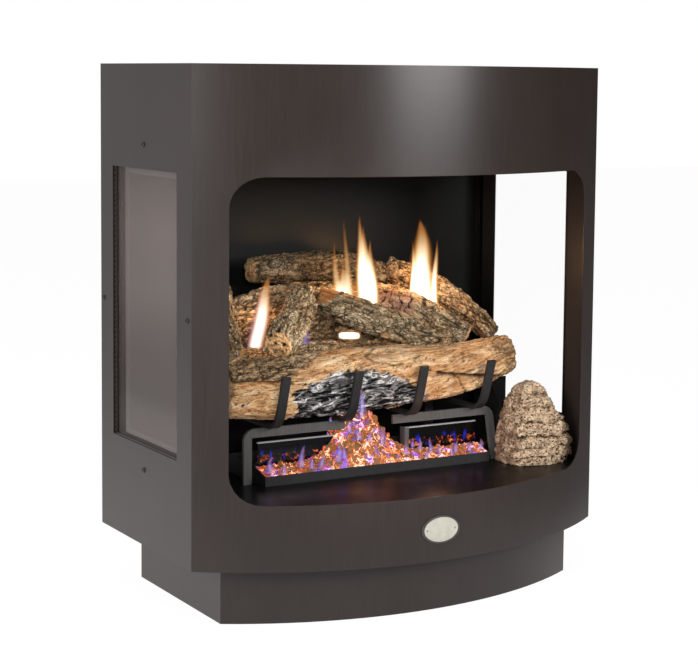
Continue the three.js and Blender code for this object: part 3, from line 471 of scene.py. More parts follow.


# The embers and their blue flames are painted on the black enamel as a glowing reflection, and the top edge
# carries a light painted highlight.
def glossyBlack():
    shader = Shader("glossyBlack")
    smudge = shader.noise(shader.place(), 14, 4)
    height = shader.axes()["Z"]
    # A light band along the top edge is a painted highlight.
    topEdgeHighlight = shader.range(height, *emberPlate["edge"])
    enamel = shader.mix(smudge, tone(5, 5, 6), tone(10, 10, 11))
    # Orange dots and blue streaks between these heights are a painted, glowing reflection of the embers and
    # their flames.
    mirrorFoot = shader.range(height, *emberPlate["mirrorFoot"])
    mirrorHead = shader.range(height, *emberPlate["mirrorHead"], 1, 0)
    overBed = shader.math("MULTIPLY", mirrorFoot, mirrorHead)
    dots = shader.noise(shader.place((1, 1, 1.3)), 120, 3, 0.6, 0.8)
    reflectedEmbers = shader.ramp(shader.math("MULTIPLY", dots, overBed), [
        (0.5, tone(0, 0, 0)),
        (0.58, tone(120, 34, 8)),
        (0.66, tone(236, 112, 40)),
        (0.72, tone(255, 170, 96)),
    ])
    streaks = shader.noise(shader.place((1, 1, 0.35)), 75, 2)
    tongues = shader.math("MULTIPLY", shader.range(streaks, 0.56, 0.68), overBed)
    shader.set(
        color=shader.mix(topEdgeHighlight, enamel, tone(150, 150, 152)),
        roughness=shader.range(smudge, 0.3, 0.7, 0.06, 0.12),
        specular=0.22,
        emission=shader.mix(tongues, reflectedEmbers, tone(26, 44, 190)),
        strength=0.9,
        normal=shader.bump(shader.noise(shader.place(), 60, 2), 0.0002, 0.15, shader.roundEdges(0.0006)),
    )
    return shader.material


def hearthBlack():
    shader = Shader("hearthBlack")
    smudge = shader.noise(shader.place(), 9, 4)
    fine = shader.noise(shader.place(), 500, 2)
    shader.set(
        color=shader.mix(smudge, tone(10, 9, 10), tone(17, 16, 16)),
        roughness=shader.range(smudge, 0.3, 0.7, 0.3, 0.42),
        specular=0.12,
        normal=shader.bump(fine, 0.00008, 0.2, shader.roundEdges(0.0006)),
    )
    return shader.material


# The outer face of a pane carries a hazy painted reflection of the room, lighter and darker in bands by
# height, and the rest is nearly clear.
pane = {"outerFrom": 0.392, "foot": 0.26, "head": 0.75, "cover": 0.48, "film": 0.012}


def windowGlass():
    shader = Shader("windowGlass")
    axes = shader.axes()
    outside = shader.math("GREATER_THAN", shader.math("ABSOLUTE", axes["X"]), pane["outerFrom"])
    geometry = shader.node("ShaderNodeNewGeometry")
    facing = shader.math("SUBTRACT", 1.0, geometry.outputs["Backfacing"])
    shown = shader.math("MULTIPLY", outside, facing)
    haze = shader.noise(shader.place((1, 1, 0.5)), 6, 3)
    # Painted reflection of the room, in bands by height
    paintedRoomReflection = shader.ramp(shader.range(axes["Z"], pane["foot"], pane["head"], shape="LINEAR"), [
        (0.0, tone(149, 138, 134)),
        (0.14, tone(142, 131, 127)),
        (0.2, tone(127, 116, 112)),
        (0.38, tone(139, 127, 123)),
        (0.56, tone(162, 149, 144)),
        (0.78, tone(166, 152, 147)),
        (1.0, tone(143, 131, 126)),
    ])
    shader.set(
        color=shader.mix(shader.range(haze, 0.3, 0.7, 0, 0.2), paintedRoomReflection, tone(122, 111, 107)),
        metallic=0.5,
        roughness=0.06,
        alpha=shader.math("ADD", shader.math("MULTIPLY", shown, pane["cover"]), pane["film"]),
    )
    return shader.material


def ropeFibre():
    shader = Shader("ropeFibre")
    weave = shader.attribute("braid")
    fuzz = shader.noise(shader.place(), 900, 3)
    # The strands are lighter on their crowns and darker in the valleys between them as painted shade, with a
    # random fibre fuzz.
    shader.set(
        color=shader.mix(shader.math("MULTIPLY", weave, fuzz), tone(20, 16, 14), tone(86, 72, 62)),
        roughness=0.95,
        specular=0.1,
        sheen=0.3,
        sheenRoughness=0.5,
        normal=shader.bump(fuzz, 0.0004, 0.6),
    )
    return shader.material


def castAluminium():
    shader = Shader("castAluminium")
    grit = shader.noise(shader.place(), 420, 4)
    shader.set(
        color=shader.mix(grit, tone(150, 151, 153), tone(190, 191, 193)),
        metallic=0.85,
        roughness=shader.range(grit, 0.3, 0.7, 0.42, 0.6),
        normal=shader.bump(grit, 0.0003, 0.4, shader.roundEdges(0.001)),
    )
    return shader.material


def drawnMetal(name, darker, lighter, metallic, roughness):
    shader = Shader(name)
    streak = shader.noise(shader.place((1, 1, 0.15)), 260, 3)
    shader.set(
        color=shader.mix(streak, darker, lighter),
        metallic=metallic,
        roughness=shader.range(streak, 0.3, 0.7, roughness - 0.06, roughness + 0.08),
        normal=shader.bump(streak, 0.00012, 0.3, shader.roundEdges(0.0005)),
    )
    return shader.material


def mouldedPlastic():
    shader = Shader("mouldedPlastic")
    grain = shader.noise(shader.place(), 1400, 2)
    shader.set(
        color=shader.mix(grain, tone(20, 20, 20), tone(34, 34, 34)),
        roughness=shader.range(grain, 0.3, 0.7, 0.42, 0.55),
        specular=0.45,
        normal=shader.bump(grain, 0.00015, 0.35, shader.roundEdges(0.0008)),
    )
    return shader.material


fireboxBlack = fireboxSteel()
plateBlack = glossyBlack()
hearthPaint = hearthBlack()
clearGlass = windowGlass()
ropeMaterial = ropeFibre()
aluminium = castAluminium()
plastic = mouldedPlastic()
burnerSteel = drawnMetal("burnerSteel", tone(116, 112, 108), tone(150, 146, 141), 0.9, 0.42)
brass = drawnMetal("brass", tone(160, 122, 60), tone(196, 156, 84), 0.95, 0.3)
brightSteel = drawnMetal("brightSteel", tone(180, 180, 182), tone(214, 214, 216), 1.0, 0.2)
pipeBlack = drawnMetal("pipeBlack", tone(30, 30, 31), tone(48, 47, 46), 0.3, 0.5)

finishes = [
    (bronzeSteel, ["plinth_front_wrap", "plinth_back", "top_panel", "back_panel", "front_panel"]),
    (bronzeSteel, ["side_panel_left", "side_panel_right", "corner_post_left", "corner_post_right"]),
    (blackSteel, ["base_pan", "glass_retainer_left", "glass_retainer_right", "control_bracket"]),
    (hearthPaint, ["hearth_floor"]),
    (fireboxBlack, ["firebox_back", "firebox_ceiling"]),
    (clearGlass, ["window_glass_left", "window_glass_right"]),
    (charcoalSteel, ["grate_rail_left", "grate_rail_right", "grate_rear_frame"]),
    (satinSteel, ["grate_finger_1", "grate_finger_2", "grate_finger_3", "grate_finger_4", "burner_pan"]),
    (plateBlack, ["ember_plate_left", "ember_plate_right"]),
    (burnerSteel, ["burner_tube", "pilot_assembly"]),
    (aluminium, ["gas_valve"]),
    (brass, ["valve_stem", "supply_pipe"]),
    (plastic, ["control_knob", "igniter_body"]),
    (brightSteel, ["igniter_button"]),
    (pipeBlack, ["inlet_pipe"]),
]
foldAngle = 32


# Merging and an angle limit give the loose triangles smooth curves and sharp folds.
def finishNode(name, material, degrees):
    node = nodes[name]
    node.data.materials.clear()
    node.data.materials.append(material)
    dropNormals(node.data)
    smoothFaces(node.data)
    weld = node.modifiers.new("Weld", "WELD")
    weld.merge_threshold = weldDistance
    split = node.modifiers.new("Split", "EDGE_SPLIT")
    split.split_angle = math.radians(degrees)
    split.use_edge_sharp = False


for material, names in finishes:
    for name in names:
        finishNode(name, material, foldAngle)
print("sheet metal finished")


# Ceramic logs. The centrelines repeat the logs of the part, as shares of the stack.
stackOrigin = np.array([-3, -20.75, 205]) * mm
stackSize = np.array([300, 250, 390]) * mm


def centreline(shares):
    control = np.array(shares) * stackSize + stackOrigin
    ends = np.vstack([2 * control[0] - control[1], control, 2 * control[-1] - control[-2]])
    points = []
    for index in range(1, len(ends) - 2):
        before, start, end, after = ends[index - 1:index + 3]
        for t in np.linspace(0, 1, 16, endpoint=False):
            points.append(0.5 * (
                2 * start
                + (end - before) * t
                + (2 * before - 5 * start + 4 * end - after) * t ** 2
                + (3 * start - before - 3 * end + after) * t ** 3
            ))
    points.append(control[-1])
    return np.array(points)


def alongLog(points, line):
    steps = np.diff(line, axis=0)
    lengths = np.linalg.norm(steps, axis=1)
    starts = np.concatenate([[0], np.cumsum(lengths)[:-1]])
    directions = steps / lengths[:, None]
    best = np.full(len(points), 1e9)
    along = np.zeros(len(points))
    offset = np.zeros_like(points)
    tangent = np.zeros_like(points)
    last = len(steps) - 1
    for index in range(len(steps)):
        relative = points - line[index]
        run = relative @ directions[index]
        low = -1.0 if index == 0 else 0.0
        high = lengths[index] + (1.0 if index == last else 0.0)
        held = np.clip(run, low, high)
        away = relative - held[:, None] * directions[index]
        distance = np.einsum("ij,ij->i", away, away)
        closer = distance < best
        best = np.where(closer, distance, best)
        along = np.where(closer, starts[index] + held, along)
        offset = np.where(closer[:, None], away, offset)
        tangent = np.where(closer[:, None], directions[index], tangent)
    across = np.cross([0, 0, 1], tangent)
    across /= np.linalg.norm(across, axis=1)[:, None]
    rise = np.cross(tangent, across)
    a = np.einsum("ij,ij->i", offset, across)
    b = np.einsum("ij,ij->i", offset, rise)
    return along, a, b, tangent, lengths.sum()


def insidePolygon(x, z, corners):
    inside = np.zeros(len(x), bool)
    nearest = np.full(len(x), 1e9)
    count = len(corners)
    for index in range(count):
        x1, z1 = corners[index]
        x2, z2 = corners[(index + 1) % count]
        crosses = ((z1 > z) != (z2 > z)) & (x < (x2 - x1) * (z - z1) / ((z2 - z1) or 1e-9) + x1)
        inside ^= crosses
        dx, dz = x2 - x1, z2 - z1
        share = np.clip(((x - x1) * dx + (z - z1) * dz) / (dx * dx + dz * dz), 0, 1)
        nearest = np.minimum(nearest, np.hypot(x - x1 - share * dx, z - z1 - share * dz))
    return np.where(inside, -nearest, nearest)


def lineDistance(x, z, corners):
    nearest = np.full(len(x), 1e9)
    for (x1, z1), (x2, z2) in zip(corners[:-1], corners[1:]):
        dx, dz = x2 - x1, z2 - z1
        share = np.clip(((x - x1) * dx + (z - z1) * dz) / (dx * dx + dz * dz), 0, 1)
        nearest = np.minimum(nearest, np.hypot(x - x1 - share * dx, z - z1 - share * dz))
    return nearest


# Features of the front log, as X and Z in millimetres on its split face
frontFeatures = {
    "char": [
        (-187, 372), (-170, 378), (-136, 386), (-117, 400), (-88, 401), (-41, 400), (-16, 392),
        (18, 381), (45, 366), (66, 352), (92, 336), (100, 318), (70, 306), (30, 322), (-10, 304),
        (-60, 300), (-104, 306), (-150, 300), (-190, 306), (-176, 335), (-189, 352),
    ],
    "almond": [
        (-44, 418), (-20, 427), (10, 434), (40, 431), (82, 419), (60, 409), (34, 403), (4, 402), (-22, 407),
    ],
    "split": [(104, 380), (119, 378), (153, 372), (188, 368), (226, 363), (268, 358)],
    "ledge": [(150, 371), (158, 356), (172, 340), (190, 328)],
    "bark": [
        (-330, 470), (-330, 393), (-288, 396), (-253, 394), (-212, 391), (-190, 400), (-165, 411),
        (-138, 421), (-110, 430), (-80, 436), (-48, 441), (-48, 470),
    ],
    "lobe": [(-315, 390), (-288, 397), (-260, 393), (-236, 389), (-212, 390), (-196, 384)],
    "rightBark": [(236, 440), (232, 408), (252, 392), (262, 372), (270, 340), (330, 330), (330, 450)],
    "holes": [(-282, 351, 3.2), (-295, 354, 2.2), (96, 404, 2.0), (158, 398, 1.8), (-238, 366, 1.6)],
}

# Depths of these features in millimetres
frontDepths = {"lip": 1.6, "almond": 1.2, "split": 6.5, "ledge": 2.0, "lobe": 5.0, "hole": 3.5}

# Holes and knots are X, Y, Z and a radius in millimetres. Sawn is a length in metres.
# Level scales the whole colour of a log: above one it is painted light and below one painted shade, for how
# much light reaches that log.
logLooks = [
    {
        "node": "log_front",
        "line": [
            [-1, -0.03, 0.43], [-0.5, -0.025, 0.425], [0.17, -0.02, 0.43], [0.6, -0.025, 0.44],
            [0.95, -0.04, 0.5],
        ],
        "seed": 3, "furrow": 1.0, "warm": 0.6, "splitFace": True,
    },
    {
        "node": "log_middle_base",
        "line": [[-1, 0.37, 0.43], [-0.3, 0.38, 0.425], [0.24, 0.38, 0.42], [0.8, 0.38, 0.41]],
        "seed": 11, "furrow": 1.0, "warm": 0.2, "level": 1.65,
    },
    {
        "node": "log_rear_base",
        "line": [[-0.87, 0.77, 0.41], [0, 0.79, 0.41], [0.88, 0.77, 0.41]],
        "seed": 19, "furrow": 1.0, "warm": 0.3,
    },
    {
        "node": "log_rear_upper",
        "line": [[-0.75, 0.57, 0.67], [-0.2, 0.59, 0.682], [0.2, 0.6, 0.675], [0.68, 0.6, 0.64]],
        "seed": 27, "furrow": 1.0, "warm": 0.35, "level": 1.25,
        "holes": [(-47, 108, 533, 9)],
    },
    {
        "node": "log_left_side",
        "line": [[-0.9, 0.14, 0.59], [-0.86, 0.4, 0.7], [-0.76, 0.68, 0.82]],
        "seed": 35, "furrow": 1.0, "warm": 0.4,
    },
    {
        "node": "log_centre_cross",
        "line": [
            [-0.24, 0.31, 0.78], [-0.07, 0.19, 0.731], [0.13, 0.1, 0.667], [0.39, 0.05, 0.6],
            [0.56, 0.02, 0.56],
        ],
        "seed": 43, "furrow": 1.15, "warm": 0.12, "cut": "start", "sawn": 0.022,
        "knots": [(25.9, -12.4, 444.8, 9)],
    },
    {
        "node": "log_left_cross",
        "line": [[-0.665, -0.05, 0.615], [-0.47, 0.16, 0.695], [-0.27, 0.4, 0.785]],
        "seed": 51, "furrow": 1.1, "warm": 0.2, "level": 1.65, "cut": "start",
        "holes": [
            (-215, -30.9, 462.5, 4.5), (-207.9, -34, 448.6, 3.6), (-196.1, -44.8, 447.5, 4.2),
            (-222, -36, 452, 2.6),
        ],
    },
    {
        "node": "log_right_cross",
        "line": [[0.22, 0.45, 0.745], [0.38, 0.32, 0.726], [0.54, 0.21, 0.664], [0.71, 0.08, 0.587]],
        "seed": 59, "furrow": 0.9, "warm": 0.2, "level": 1.15, "cut": "end", "pink": (0.0, 0.4),
    },
    {
        "node": "log_right_back",
        "line": [[0.44, 0.71, 0.87], [0.63, 0.5, 0.79], [0.79, 0.3, 0.69], [0.92, 0.1, 0.58]],
        "seed": 67, "furrow": 1.0, "warm": 0.55,
        "knots": [(212, 85.5, 531, 8)],
    },
    {
        "node": "log_back",
        "line": [[-0.54, 0.67, 0.9], [-0.26, 0.68, 0.898], [0.09, 0.69, 0.886], [0.4, 0.67, 0.845]],
        "seed": 75, "furrow": 0.8, "warm": 0.15, "level": 0.42, "cut": "start",
        "holes": [(-47, 112, 533, 9)],
    },
]


def logMaterial():
    shader = Shader("ceramicLog")
    crack = shader.attribute("crack")
    height = shader.attribute("height")
    split = shader.attribute("split")
    char = shader.attribute("char")
    ash = shader.attribute("ash")
    warm = shader.attribute("warm")
    pink = shader.attribute("pink")
    grain = shader.attribute("grain")
    along = shader.attribute("logPlace", "Vector")
    mottle = shader.noise(shader.place(), 34, 4, 0.6)
    speck = shader.noise(shader.place(), 420, 3, 0.6)
    barkLines = shader.wrinkles(shader.stretched(along, (0.45, 1, 1)), 105, 0.045, 3, 0.8)
    barkPits = shader.wrinkles(shader.stretched(along, (0.7, 1, 1)), 230, 0.05, 2, 0.4)
    plateSpace = shader.warped(shader.stretched(along, (0.5, 1, 1)), 120, 0.008)
    plates = shader.cells(plateSpace, 135, "DISTANCE_TO_EDGE")
    opened = shader.range(shader.noise(shader.place(), 55, 2), 0.4, 0.55)
    gaps = shader.math("MULTIPLY", shader.range(plates, 0.03, 0.14, 1, 0), opened)
    # Fine bark lines, pits and gaps are grooves in the bump and are darkened too, partly as the bark's own
    # colour and partly as painted shade.
    dark = shader.math("MAXIMUM", barkLines, shader.math("MULTIPLY", barkPits, 0.6))
    dark = shader.math("MAXIMUM", dark, gaps)
    # Bark colour follows its relief: deep furrows and cracks darker as painted shade, raised blocks lighter.
    bark = shader.ramp(height, [
        (0.0, tone(62, 53, 39)),
        (0.3, tone(143, 123, 95)),
        (0.6, tone(192, 170, 136)),
        (1.0, tone(228, 213, 182)),
    ])
    bark = shader.mix(shader.range(mottle, 0.42, 0.7, 0, 0.45), bark, tone(166, 132, 94))
    # Warmer bark is partly a warm tone of its own and partly a painted orange glow of the firelight.
    warmFireglowBark = shader.ramp(height, [
        (0.0, tone(70, 42, 22)),
        (0.35, tone(160, 114, 70)),
        (0.7, tone(212, 166, 116)),
        (1.0, tone(236, 200, 154)),
    ])
    bark = shader.mix(warm, bark, warmFireglowBark)
    bark = shader.mix(shader.math("MULTIPLY", dark, 0.86), bark, tone(27, 21, 13))
    woodLines = shader.wrinkles(shader.stretched(along, (0.16, 1, 1)), 85, 0.03, 3, 1.8)
    hollows = shader.noise(shader.stretched(along, (0.35, 1, 1)), 26, 3, 0.6, 0.8)
    woodStreaks = shader.noise(shader.stretched(along, (0.14, 1, 1)), 60, 4, 0.6, 1.2)
    wood = shader.ramp(grain, [
        (0.0, tone(122, 74, 40)),
        (0.3, tone(204, 152, 100)),
        (0.6, tone(236, 188, 136)),
        (1.0, tone(251, 218, 176)),
    ])
    wood = shader.mix(shader.range(woodStreaks, 0.45, 0.7, 0, 0.6), wood, tone(186, 120, 66))
    wood = shader.mix(shader.range(hollows, 0.52, 0.7, 0, 0.6), wood, tone(150, 96, 54))
    wood = shader.mix(shader.range(mottle, 0.5, 0.75, 0, 0.35), wood, tone(246, 208, 160))
    wood = shader.mix(shader.math("MULTIPLY", woodLines, 0.85), wood, tone(72, 40, 20))
    rosy = shader.ramp(grain, [
        (0.0, tone(84, 54, 42)),
        (0.5, tone(158, 120, 98)),
        (1.0, tone(204, 168, 140)),
    ])
    rosy = shader.mix(shader.math("MULTIPLY", barkPits, 0.7), rosy, tone(56, 34, 26))
    wood = shader.mix(pink, wood, rosy)
    color = shader.mix(split, bark, wood)
    # Painted shade in cracks, splits, holes and under ledges, with dark rings round knots
    color = shader.mix(crack, color, tone(24, 15, 9))
    # The char is lighter on its ridges with white threads along them, partly grey ash and partly painted
    # highlight, and darker in its clefts as painted shade.
    threads = shader.wrinkles(shader.stretched(along, (0.3, 1, 1)), 62, 0.07, 4, 1.6)
    patches = shader.range(shader.noise(shader.stretched(along, (0.5, 1, 1)), 30, 3), 0.36, 0.54)
    ashy = shader.math("MULTIPLY", shader.range(ash, 0.1, 0.55, 0.3, 1), patches)
    silverAshAndHighlight = shader.math("MULTIPLY", threads, ashy)
    charColor = shader.mix(shader.range(ash, 0.25, 0.8), tone(14, 14, 16), tone(122, 117, 115))
    charColor = shader.mix(shader.range(patches, 0, 1, 0.6, 0), charColor, tone(13, 13, 15))
    charColor = shader.mix(silverAshAndHighlight, charColor, tone(248, 244, 240))
    color = shader.mix(char, color, charColor)
    color = shader.mix(shader.range(speck, 0.56, 0.72, 0, 0.45), color, tone(30, 21, 12))
    # Painted light and shade over a whole log, from its level
    color = shader.mix(1.0, color, shader.attribute("level"), "MULTIPLY")
    relief = shader.math("SUBTRACT", speck, shader.math("MULTIPLY", dark, 0.8))
    shader.set(
        color=color,
        roughness=0.9,
        specular=0.15,
        normal=shader.bump(relief, 0.0021, 1.0),
    )
    return shader.material


ceramicLog = logMaterial()

# Depths of the relief in millimetres, and how far each kind of noise is drawn out along a log
logSurface = {
    "voxel": 2.2 * mm,
    "smoothing": 12,
    "turnPerMetre": 2.2,
    "barkShare": 0.34,
    "woodShare": 0.1,
    "charShare": 0.22,
    "bark": {"blocks": 2.4, "furrows": 3.8, "cracks": 2.9, "plates": 2.2, "knobs": 1.6, "fine": 0.8},
    "wood": {"strands": 1.7, "lines": 1.2, "fine": 0.25},
    "char": {"ridges": 2.6, "clefts": 4.5, "fine": 0.4, "sink": 2.5},
    "hole": 4.5,
    "endDepth": 0.012,
}


# One log's points, its own directions, and what shows at each point
class LogShape:
    def __init__(self, mesh, look):
        self.look = look
        self.seed = look["seed"]
        self.points = pointsOf(mesh)
        self.normals = normalsOf(mesh)
        self.world = self.points / mm
        self.along, a, b, self.tangent, self.length = alongLog(self.points, centreline(look["line"]))
        self.radius = np.hypot(a, b) / mm
        twist = self.along * logSurface["turnPerMetre"]
        u = a * np.cos(twist) - b * np.sin(twist)
        v = a * np.sin(twist) + b * np.cos(twist)
        self.flat = np.column_stack([self.along, u, v])
        self.own = self.drawnOut("barkShare")
        self.fine = self.noise(self.world, 3.6, 7)
        # Warmth is partly the bark's own warm tone and partly painted orange firelight.
        self.warm = np.clip(look["warm"] + 0.4 * self.noise(self.world, 55, 19), 0, 1)
        self.split = self.crack = self.char = self.ash = self.pink = np.zeros(len(self.points))

    # Sizes are in millimetres, and each noise has a seed of its own.
    def drawnOut(self, share):
        return self.flat * np.array([logSurface[share], 1, 1]) / mm

    def noise(self, space, size, offset, octaves=2):
        return fractalNoise(space / size, self.seed + offset, octaves)

    def swell(self, space, size, offset):
        return gradientNoise(space / size, self.seed + offset)

    def growBark(self):
        depth = logSurface["bark"]
        bent = self.own + self.noise(self.own, 34, 0)[:, None] * np.array([4.0, 6.0, -6.0])
        breaks = smoothstep(self.swell(self.world, 24, 4), -0.25, 0.3)
        furrows = crease(self.swell(bent, 17, 3), 0.16) * breaks
        border, label = cellNoise(bent / 9.5, self.seed + 5)
        cracks = (1 - smoothstep(border, 0.02, 0.24)) * (0.35 + 0.65 * (1 - breaks))
        blocks = self.noise(self.own, 26, 9, 3)
        self.barkLift = self.look["furrow"] * (
            depth["blocks"] * blocks
            - depth["furrows"] * furrows
            - depth["cracks"] * cracks
            + depth["plates"] * (label - 0.5)
            + depth["knobs"] * self.noise(self.world, 9, 11)
            + depth["fine"] * self.fine
        )
        # Height is lower in furrows and cracks, so the bark is painted darker there as shade.
        height = 0.6 + 0.22 * blocks - 0.6 * furrows - 0.36 * cracks + 0.26 * (label - 0.5) + 0.22 * self.fine
        self.barkShadeByHeight = np.clip(height, 0, 1)

    def growWood(self):
        depth = logSurface["wood"]
        swirl = self.noise(self.own, 40, 13)[:, None] * np.array([2.0, 16.0, -16.0])
        swirl = self.drawnOut("woodShare") + swirl
        self.strands = self.noise(swirl, 8, 15, 3)
        lines = crease(self.swell(swirl, 12, 17), 0.08)
        self.woodLift = depth["strands"] * self.strands - depth["lines"] * lines + depth["fine"] * self.fine
        self.grain = np.clip(0.62 + 0.5 * self.strands - 0.4 * lines + 0.1 * self.fine, 0, 1)

    def cutEnds(self):
        reach = logSurface["endDepth"]
        faces = np.abs(np.einsum("ij,ij->i", self.normals, self.tangent)) > 0.6
        nearEnds = {"start": self.along < reach, "end": self.along > self.length - reach}
        mask = nearEnds[self.look["cut"]] & faces
        ragged = mask & (self.noise(self.world, 8, 20) > -0.28)
        self.split = np.where(ragged, 1.0, self.split)
        rings = np.sin(self.radius * 0.95 + 3.5 * self.noise(self.world, 14, 21))
        self.grain = np.where(mask, np.clip(0.5 + 0.2 * rings + 0.2 * self.fine, 0, 1), self.grain)
        self.woodLift = np.where(mask, rings + 0.8 * self.fine, self.woodLift)

    def splitFront(self):
        x, z = self.world[:, 0], self.world[:, 2]
        front = smoothstep(-self.normals[:, 1], 0.0, 0.35)
        edge = 5 * self.noise(self.world, 9, 23, 3)
        barkBand = smoothstep(-(insidePolygon(x, z, frontFeatures["bark"]) + edge), -1, 2)
        rightBark = smoothstep(-(insidePolygon(x, z, frontFeatures["rightBark"]) + 1.5 * edge), -1, 2)
        self.split = np.clip(1 - np.maximum(barkBand, 0.8 * rightBark), 0, 1)
        streaks = crease(self.swell(self.drawnOut("woodShare"), 6, 25), 0.3)
        streaked = np.clip(0.55 - 0.5 * streaks + 0.2 * self.fine, 0, 1)
        leftBand = (barkBand > 0.3) & (x < -190)
        # The left bark band is darker in its streaks, as painted shade in their grooves.
        self.barkShadeByHeight = np.where(leftBand, streaked, self.barkShadeByHeight)
        self.barkLift = np.where(leftBand, 1.2 - 3.2 * streaks, self.barkLift)
        # The bark bands are warmed, the right end most, partly as painted firelight from the embers.
        self.warm = np.where(barkBand > 0.3, 0.35, np.where(rightBark > 0.3, 0.75, self.warm))
        charDistance = insidePolygon(x, z, frontFeatures["char"]) + 1.5 * edge
        forward = smoothstep(-self.normals[:, 1] - self.normals[:, 2], -0.6, 0.0)
        self.char = smoothstep(-charDistance, -1.5, 1.5) * forward
        self.carveFront(x, z, front)

    def carveFront(self, x, z, front):
        depth = frontDepths
        wavy = z + 1.6 * self.noise(self.world, 14, 29)

        def near(name, width):
            return np.exp(-(lineDistance(x, wavy, frontFeatures[name]) / width) ** 2) * front

        almond = insidePolygon(x, z, frontFeatures["almond"])
        inner = smoothstep(-almond, 0, 4) * front
        lip = np.exp(-(almond / 1.7) ** 2) * front * smoothstep(self.swell(self.world, 22, 41), -0.25, 0.35)
        ledge = near("ledge", 2.0)
        lobe = near("lobe", 2.6)
        self.woodLift = (
            self.woodLift
            - depth["lip"] * lip
            - depth["almond"] * inner
            - depth["split"] * near("split", 2.4)
            - depth["ledge"] * ledge
            - depth["lobe"] * lobe
        )
        self.barkLift = self.barkLift - depth["lobe"] * lobe
        self.grain = np.clip(self.grain + 0.18 * inner, 0, 1)
        # The lip, the split, the ledge and the lobe are darkened as painted shade in their creases and under
        # the ledge, and the holes below as painted shade inside them.
        for shade in (0.75 * lip, near("split", 3.8), 0.65 * ledge, 0.9 * lobe):
            self.crack = np.maximum(self.crack, shade)
        for holeX, holeZ, size in frontFeatures["holes"]:
            hole = np.exp(-(np.hypot(x - holeX, z - holeZ) / size) ** 4) * front
            self.woodLift = self.woodLift - depth["hole"] * hole
            self.crack = np.maximum(self.crack, hole)

    def sawTop(self):
        top, end = self.normals[:, 2], self.look["sawn"]
        reach = self.along + 0.006 * self.noise(self.world, 14, 43) - 0.012 * top
        sawn = (1 - smoothstep(reach, end - 0.003, end)) * smoothstep(top, -0.2, 0.1)
        self.split = np.maximum(self.split, sawn)
        self.grain = np.where(sawn > 0.1, np.clip(0.1 + 0.3 * self.strands, 0, 1), self.grain)
        self.woodLift = np.where(sawn > 0.1, 0.8 * self.strands, self.woodLift)

    def pressHoles(self):
        for *place, size in self.look["holes"]:
            away = np.linalg.norm(self.world - np.array(place), axis=1)
            hole = np.exp(-(away / size) ** 4)
            self.woodLift = self.woodLift - logSurface["hole"] * hole
            # A hole is darkened inside as painted shade.
            self.crack = np.maximum(self.crack, hole)

    def growKnots(self):
        for *place, size in self.look["knots"]:
            away = np.linalg.norm(self.world - np.array(place), axis=1)
            knot = smoothstep(-away, -size, -size * 0.6)
            ring = np.exp(-((away - size) / 2.0) ** 2)
            rings = np.sin(away * 1.9)
            self.split = np.maximum(self.split, knot)
            self.grain = np.where(knot > 0.1, np.clip(0.42 + 0.25 * rings, 0, 1), self.grain)
            self.crack = np.maximum(self.crack, 0.6 * ring)
            self.woodLift = np.where(knot > 0.1, 2.0 + 0.5 * rings, self.woodLift)
            self.barkLift = self.barkLift + 2.0 * ring

    # A pink split face with dark stripes across it, darkened in their cracks as painted shade
    def stripePink(self):
        low, high = self.look["pink"]
        share = self.along / self.length
        zone = smoothstep(share, low - 0.02, low + 0.02) * (1 - smoothstep(share, high - 0.06, high + 0.06))
        facing = -self.normals[:, 1] + 0.45 * self.noise(self.world, 12, 31, 3)
        zone = zone * smoothstep(facing, 0.2, 0.4)
        wave = 1.8 * self.noise(self.world, 18, 33)
        stripes = crease(np.sin(self.along / mm / 5.2 + wave), 0.34)
        striped = 1.2 * self.strands - 4.2 * stripes + 0.8 * self.fine
        self.split = np.maximum(self.split, zone)
        self.pink = np.maximum(self.pink, zone)
        self.woodLift = np.where(zone > 0.3, striped, self.woodLift)
        self.crack = np.maximum(self.crack, smoothstep(stripes, 0.15, 0.6) * zone)

    def growChar(self):
        depth = logSurface["char"]
        flow = self.noise(self.own, 26, 35)[:, None] * np.array([0.0, 12.0, -12.0])
        flow = self.drawnOut("charShare") + flow
        ridges = self.noise(flow, 10, 37, 3)
        clefts = crease(self.swell(flow, 18, 39), 0.16)
        charLift = depth["ridges"] * ridges - depth["clefts"] * clefts + depth["fine"] * self.fine
        self.charLift = charLift - depth["sink"]
        # Ash is lighter on ridges and darker in clefts, partly as ash and partly as painted highlight and
        # shade.
        ashShare = np.clip(0.42 + 0.9 * ridges - 0.7 * clefts + 0.25 * self.fine, 0, 1)
        self.ash = np.where(self.char > 0.02, ashShare, self.ash)

    def store(self, mesh):
        lift = self.barkLift * (1 - self.split) + self.woodLift * self.split
        lift = lift * (1 - self.char) + self.charLift * self.char
        setPoints(mesh, self.points + self.normals * (lift * mm)[:, None])
        smoothFaces(mesh)
        values = {
            "crack": np.clip(self.crack, 0, 1) * (1 - self.char),
            "height": self.barkShadeByHeight,
            "split": self.split,
            "grain": self.grain,
            "char": self.char,
            "ash": self.ash,
            "warm": self.warm,
            "pink": self.pink,
            "level": np.full(len(self.points), self.look.get("level", 1.0)),
        }
        for name, value in values.items():
            setValues(mesh, name, value)
        setVectors(mesh, "logPlace", self.flat)


def sculptLog(look):
    piece = mergedCopy(look["node"], look["node"].replace("log_", "ceramic_log_"))
    remesh(piece, logSurface["voxel"], logSurface["smoothing"])
    log = LogShape(piece.data, look)
    log.growBark()
    log.growWood()
    steps = {
        "cut": log.cutEnds,
        "splitFace": log.splitFront,
        "sawn": log.sawTop,
        "holes": log.pressHoles,
        "knots": log.growKnots,
        "pink": log.stripePink,
    }
    for wanted, step in steps.items():
        if wanted in look:
            step()
    log.growChar()
    log.store(piece.data)
    finishPiece(piece, ceramicLog, "root", [look["node"]])


for look in logLooks:
    sculptLog(look)
print("logs sculpted")


